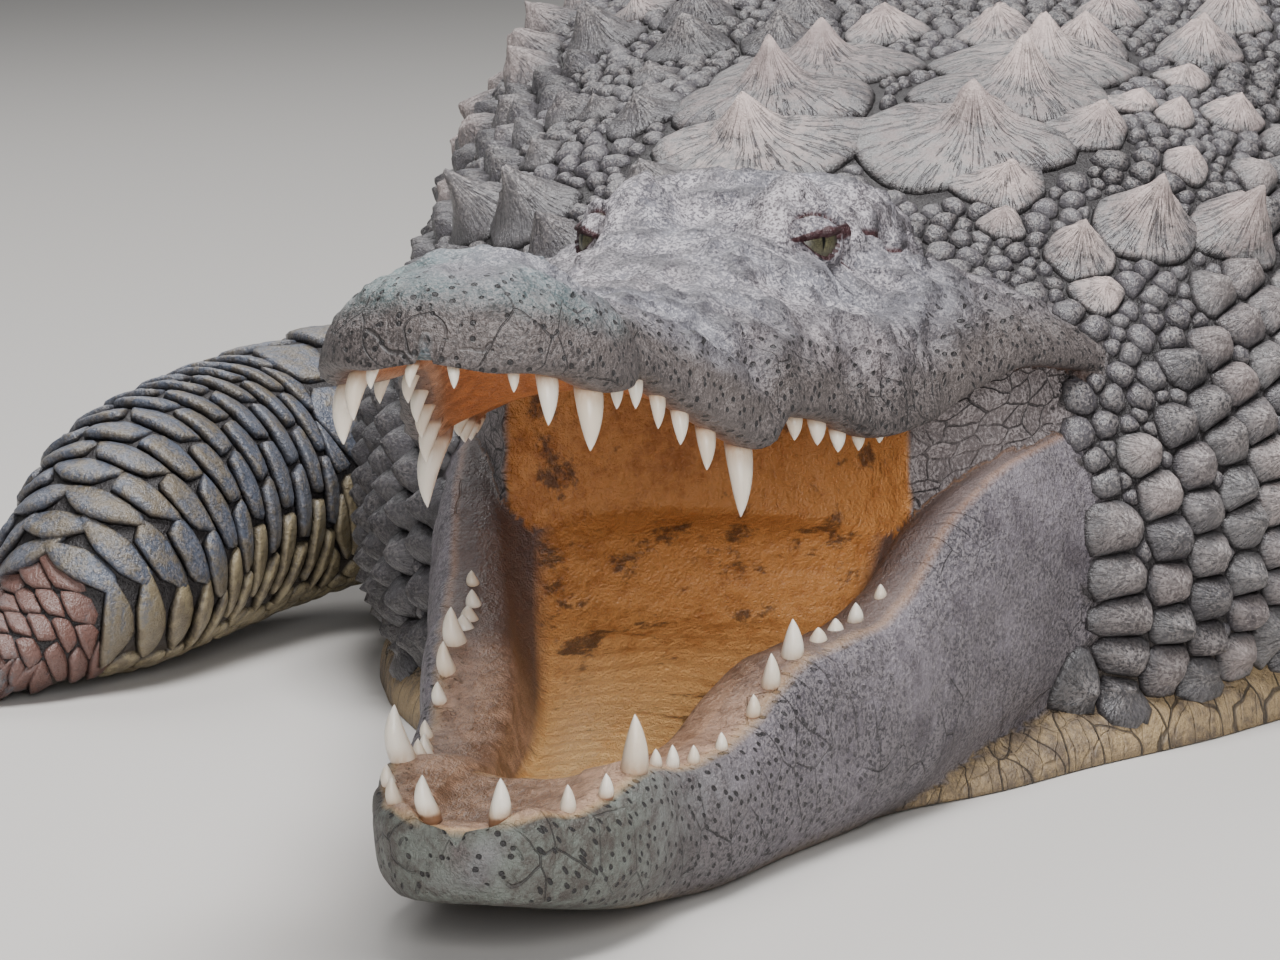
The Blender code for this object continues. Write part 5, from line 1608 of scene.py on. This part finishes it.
# (back, girth, size, height of cone) of the plates round it, alike on both sides
NECK_PLATES = (
    (0.693, 0.188, 0.040, 0.034), (0.733, 0.240, 0.036, 0.030), (0.685, 0.108, 0.026, 0.018),
    (0.651, 0.160, 0.023, 0.020), (0.650, 0.112, 0.016, 0.012), (0.632, 0.185, 0.015, 0.010),
    (0.776, 0.146, 0.022, 0.014), (0.822, 0.182, 0.017, 0.009), (0.768, 0.205, 0.017, 0.009),
    (0.857, 0.215, 0.025, 0.012), (0.828, 0.155, 0.015, 0.008), (0.895, 0.170, 0.018, 0.009),
    (0.955, 0.165, 0.036, 0.022), (0.945, 0.098, 0.033, 0.020), (1.010, 0.245, 0.037, 0.028),
    (0.965, 0.035, 0.032, 0.016), (1.012, 0.100, 0.030, 0.016), (1.020, 0.176, 0.034, 0.024),
    (0.945, 0.290, 0.024, 0.012), (0.880, 0.268, 0.022, 0.010),
)
plates = np.array([*SHIELD, *((x, side * g, s, c) for x, g, s, c in NECK_PLATES for side in (1, -1))])
plates[len(SHIELD) :, :2] += rng.uniform(-0.004, 0.004, (len(plates) - len(SHIELD), 2))
x, g, size, cone = plates.T
# painted shade: the shield's plates on the right side are coloured darker and less dusty
shaded = g < -0.09
shield = spots(
    x, g, size, height=PLATE_HEIGHT, cone=cone, flat=0.9, dusty=1.0 - 0.6 * shaded, dark=0.2 + 0.6 * shaded
)

# Scutes along the back, in cross rows of eight that narrow to four over the hips.
rows = np.arange(1.076, 2.22, 0.062)
back = []
for k, x in enumerate(rows):
    half = 4 if x < 1.85 else 3 if x < 2.05 else 2
    for c in range(half):
        girth = 0.034 + 0.067 * c
        keel = (0.014, 0.012, 0.013, 0.015)[c] * (1 if x > 1.15 else 0.9)
        for side in (1, -1):
            place = (x + rng.uniform(-0.002, 0.002), side * girth + rng.uniform(-0.002, 0.002))
            back.append((*place, 0.031 - 0.001 * c, keel))
x, g, size, keel = np.array(back).T
scutes = spots(x, g, size, height=SCUTE_HEIGHT, keel=keel, flat=0.8, dusty=0.85, dark=0.55)
# On the shoulders the outer scutes stand up as cones.
SHOULDER_CONES = (
    (1.075, 0.315, 0.030, 0.024), (1.150, 0.330, 0.029, 0.022), (1.225, 0.325, 0.028, 0.020),
    (1.110, 0.385, 0.026, 0.016), (1.190, 0.395, 0.025, 0.014), (1.300, 0.330, 0.027, 0.016),
    (1.375, 0.330, 0.027, 0.014), (1.020, 0.300, 0.028, 0.020), (0.975, 0.330, 0.026, 0.015),
    (0.900, 0.330, 0.024, 0.012), (1.040, 0.375, 0.024, 0.013),
)
shoulder = np.array([(x, side * g, s, c) for x, g, s, c in SHOULDER_CONES for side in (1, -1)])
x, g, size, cone = shoulder.T
shoulder = spots(x, g, size, height=0.006, cone=cone, flat=0.2, dusty=0.6, dark=0.8)

# Whorls of tall plates round the tail, with a double crest that joins into one.
tail = []
for x in np.arange(2.235, TAIL_TIP - 0.03, 0.056):
    girth = float(half_girth_at(body, x))
    crest = 0.040 * (1 - 0.55 * float(step_up(x, 3.6, 4.2))) * float(step_up(x, 2.15, 2.6))
    if x < 3.25:
        gap = 0.058 * (1 - float(step_up(x, 2.3, 3.25)) * 0.72)
        tail += [(x, side * gap, 0.027, SCUTE_HEIGHT, max(crest, 0.016), 0.5) for side in (1, -1)]
        start = gap + 0.050
    else:
        tail.append((x, 0.0, 0.027, SCUTE_HEIGHT, crest * 1.15, 0.5))
        start = 0.040
    for g in np.arange(start, girth - 0.02, 0.040):
        keel = 0.006 if g < 0.45 * girth else 0.0
        tail += [(x, side * g, 0.024, 0.0042, keel, 0.25) for side in (1, -1)]
x, g, size, height, keel, dusty = np.array(tail).T
whorls = spots(x, g, size, height=height, keel=keel, flat=0.9, dusty=dusty, dark=0.65)

# Domed plates in rings on the sides of the neck, ovals in rows along the flanks, tiles under the belly.
big = np.concatenate((shield, scutes, shoulder))
groups = [big, whorls]
for side in (1, -1):
    rings = evened(body, 0.530, 1.03, 0.030, 0.60)
    x, k = paired(rings, np.arange(18))
    odd = (np.arange(len(rings)) % 2).repeat(18)
    g = 0.245 + 0.0245 * (k + 0.5 * odd) + rng.uniform(-0.0025, 0.0025, x.size)
    x = x + rng.uniform(-0.0015, 0.0015, x.size)
    half = half_girth_at(body, x)
    x, g, half = (v[g < half * 0.97] for v in (x, g, half))
    # painted shade: on the right side the neck's plates are coloured darker and less dusty
    rows_of_neck = spots(
        x, side * g, rng.uniform(0.0165, 0.0190, x.size), height=0.0085, cone=0.0068, flat=0.0,
        dusty=rng.uniform(0.25, 0.62, x.size) * (1 if side > 0 else 0.35),
        dark=rng.uniform(0.2, 0.9, x.size) if side > 0 else 0.95,
        pale=0.85 * step_up(g / half, 0.80, 0.92),
    )
    groups.append(apart(body, rows_of_neck, big, 0.62))
    x, g = lattice(1.04, 2.20, 0.034, 0.345, 0.70, 0.040, 0.16)
    half = half_girth_at(body, x)
    x, g, half = (v[g < half * 0.80] for v in (x, g, half))
    ovals = spots(
        x, side * g, rng.uniform(0.014, 0.0185, x.size), height=0.0055, keel=0.002, flat=0.3,
        dusty=0.30, dark=0.85, pale=step_up(g / half, 0.62, 0.78),
    )
    groups.append(apart(body, ovals, big, 0.85))
x, g = lattice(1.02, 2.22, 0.034, -0.62, 0.62, 0.033, 0.05)
half = half_girth_at(body, x)
x, g, half = (v[np.abs(g) < half * 0.21] for v in (x, g, half))
groups.append(spots(x, np.where(g < 0, -half - g, half - g), 0.017, height=0.0022, flat=1.0, pale=1.0))
laid = np.concatenate(groups)
# Small beads fill what is left between the large scales.
for first, last, spread_of, size_of in ((0.520, 2.25, 0.0165, 0.0080), (0.503, 1.06, 0.0105, 0.0050)):
    x, k = paired(evened(body, first, last, spread_of, 0.60), np.arange(-90, 91))
    g = spread_of * (k + rng.uniform(-0.3, 0.3, x.size))
    half = half_girth_at(body, x)
    x, g, half = (v[np.abs(g) < half * np.where(x < 1.0, 0.97, 0.80)] for v in (x, g, half))
    beads = spots(
        x, g, size_of * rng.uniform(0.8, 1.2, x.size), height=size_of * 0.80, flat=0.0,
        dusty=0.22, dark=0.95, pale=step_up(np.abs(g) / half, 0.62, 0.80) * (x > 1.0),
    )
    beads = apart(body, thinned(body, beads, 1.5), laid, 0.74)
    laid = np.concatenate((laid, apart(body, beads, shield[: len(SHIELD)], 0.84)))

NECK_END, TAIL_START, LARGE_SIZE, TALL_CONE = 1.03, 2.2, 0.010, 0.007


def told(front, large, tail=None):
    """Picks spots by where they lie and how large they are, leaving out the tall cones."""
    return lambda t: (
        (t[:, CONE] <= TALL_CONE) & ((t[:, ALONG] < NECK_END) == front) & ((t[:, SIZE] > LARGE_SIZE) == large)
        & (True if tail is None else (t[:, ALONG] >= TAIL_START) == tail)
    )


coat(body, laid, (
    ("neck_plates", lambda t: t[:, CONE] > TALL_CONE, 32,
     (1.0, 0.96, 0.89, 0.80, 0.70, 0.60, 0.50, 0.40, 0.30, 0.20, 0.12, 0.05)),
    ("neck_scales", told(True, True), 18, (1.0, 0.95, 0.86, 0.74, 0.58, 0.38, 0.18)),
    ("neck_beads", told(True, False), 10, (1.0, 0.85, 0.60, 0.30)),
    ("trunk_scales", told(False, True, False), 14, (1.0, 0.94, 0.80, 0.58, 0.30)),
    ("trunk_beads", told(False, False), 8, (0.92, 0.55)),
    ("tail_scales", told(False, True, True), 14, (1.0, 0.94, 0.80, 0.58, 0.30)),
))

# ------------------------------------------------------------------ scales of the legs and feet
# Wide scales in overlapping cross bands, like armour, over the outer sides, and small pale ones inside.
# The feet carry narrow bands of them over the backs of the toes, stained with red earth.


def every_one(table):
    """Picks all the spots."""
    return table[:, SIZE] > 0


for name, surface in legs.items():
    end = surface["along"][-1]
    wide = []
    for start, stop, step, width in ((0.05, 0.285, 0.042, 0.056), (0.29, end - 0.004, 0.0195, 0.046)):
        columns = np.arange(-8, 9)
        x, k = paired(evened(surface, start, stop, step, 0.0), columns)
        odd = np.arange(len(x)) // len(columns) % 2
        g = width * (k + 0.5 * odd + rng.uniform(-0.10, 0.10, x.size))
        x = x + rng.uniform(-0.05, 0.05, x.size) * step
        half = half_girth_at(surface, x)
        x, g, half = (v[np.abs(g) < half * 0.74] for v in (x, g, half))
        wide.append(
            spots(
                x, g, 0.62 * step, height=0.0038, tilt=1.0, flat=1.3, broad=width / step / 0.72 - 1,
                dusty=0.14, dark=1.0, pale=0.30 + 0.5 * step_up(np.abs(g) / half, 0.45, 0.74),
            )
        )
    wide = np.concatenate(wide)
    x, g = lattice(0.05, end - 0.03, 0.017, -0.34, 0.34, 0.017, 0.2)
    half = half_girth_at(surface, x)
    keep = (np.abs(g) < half * 0.97) & (np.abs(g) > half * 0.76)
    small = spots(x[keep], g[keep], 0.0080, height=0.0036, flat=0.4, dusty=0.1, dark=0.6, pale=0.6)
    wide = np.concatenate((wide, apart(surface, small, wide, 0.85)))
    sort = (f"{name}_leg_scales", every_one, 20, (1.0, 0.95, 0.84, 0.60, 0.30))
    coat(surface, wide, (sort,), gap=0.0, sharpness=24.0)

for k, surface in enumerate(palms + toes):
    hand = k < len(palms)
    step, width = (0.012, 0.024) if hand else (0.0090, 0.026)
    x, g = lattice(0.003, surface["along"][-1] - 0.004, step, -0.12, 0.12, width, 0.08)
    half = half_girth_at(surface, x)
    keep = np.abs(g) < half * 0.78
    bands = spots(
        x[keep], g[keep], 0.62 * step, height=0.0026 if hand else 0.0020, tilt=0.9, flat=1.1,
        dusty=0.03, dark=0.8, mud=1.0, broad=width / step / 0.8 - 1,
    )
    sort = (f"foot_scales_{k + 1}", every_one, 16, (1.0, 0.93, 0.66, 0.25))
    coat(surface, bands, (sort,), gap=0.0, sharpness=20.0, slack=0.006)

# ------------------------------------------------------------------ floor, camera and light
# A plain pale floor under a grey studio sky, with three square lamps: a strong one above the head, a soft
# one over the right flank, and a small low one in front of the mouth.

CAMERA_PLACE, LENS, SENSOR = (4.0888, 0.8993, 0.6994), 161.56, 36
CAMERA_RIGHT, CAMERA_UP = Vector((-0.29491, 0.95524, -0.02344)), Vector((-0.16564, -0.02695, 0.98582))
FLOOR_HALF = 9
LAMPS = (((1.3, 0.5, 3.4), 210, 1.6), ((-1.6, -2.0, 3.2), 80, 2.5), ((3.7, 0.95, 1.15), 70, 1.4))
LAMPS_AIM = (0.6, 0, 0.2)

camera = bpy.data.objects.new("camera", bpy.data.cameras.new("camera"))
bpy.context.scene.collection.objects.link(camera)
camera.data.lens, camera.data.sensor_width = LENS, SENSOR
turned = Matrix((CAMERA_RIGHT, CAMERA_UP, CAMERA_RIGHT.cross(CAMERA_UP))).transposed().to_4x4()
camera.matrix_world = Matrix.Translation(CAMERA_PLACE) @ turned
bpy.context.scene.camera = camera

floor = bpy.data.objects.new("floor", bpy.data.meshes.new("floor"))
corners = [(x * FLOOR_HALF, y * FLOOR_HALF, 0) for x, y in ((-1, -1), (1, -1), (1, 1), (-1, 1))]
floor.data.from_pydata(corners, [], [(0, 1, 2, 3)])
bpy.context.scene.collection.objects.link(floor)
ground, tree, shader = material("ground")
shader.inputs["Base Color"].default_value = (0.50, 0.48, 0.46, 1)
shader.inputs["Roughness"].default_value = 0.9
floor.data.materials.append(ground)

for place, power, size in LAMPS:
    lamp = bpy.data.objects.new("lamp", bpy.data.lights.new("lamp", "AREA"))
    lamp.data.energy, lamp.data.size = power, size
    lamp.location = place
    lamp.rotation_euler = (Vector(LAMPS_AIM) - Vector(place)).to_track_quat("-Z", "Y").to_euler()
    bpy.context.scene.collection.objects.link(lamp)
world = bpy.data.worlds.new("studio")
world.use_nodes = True
world.node_tree.nodes["Background"].inputs["Color"].default_value = (0.75, 0.78, 0.8, 1)
world.node_tree.nodes["Background"].inputs["Strength"].default_value = 0.22
bpy.context.scene.world = world

bpy.context.view_layer.update()
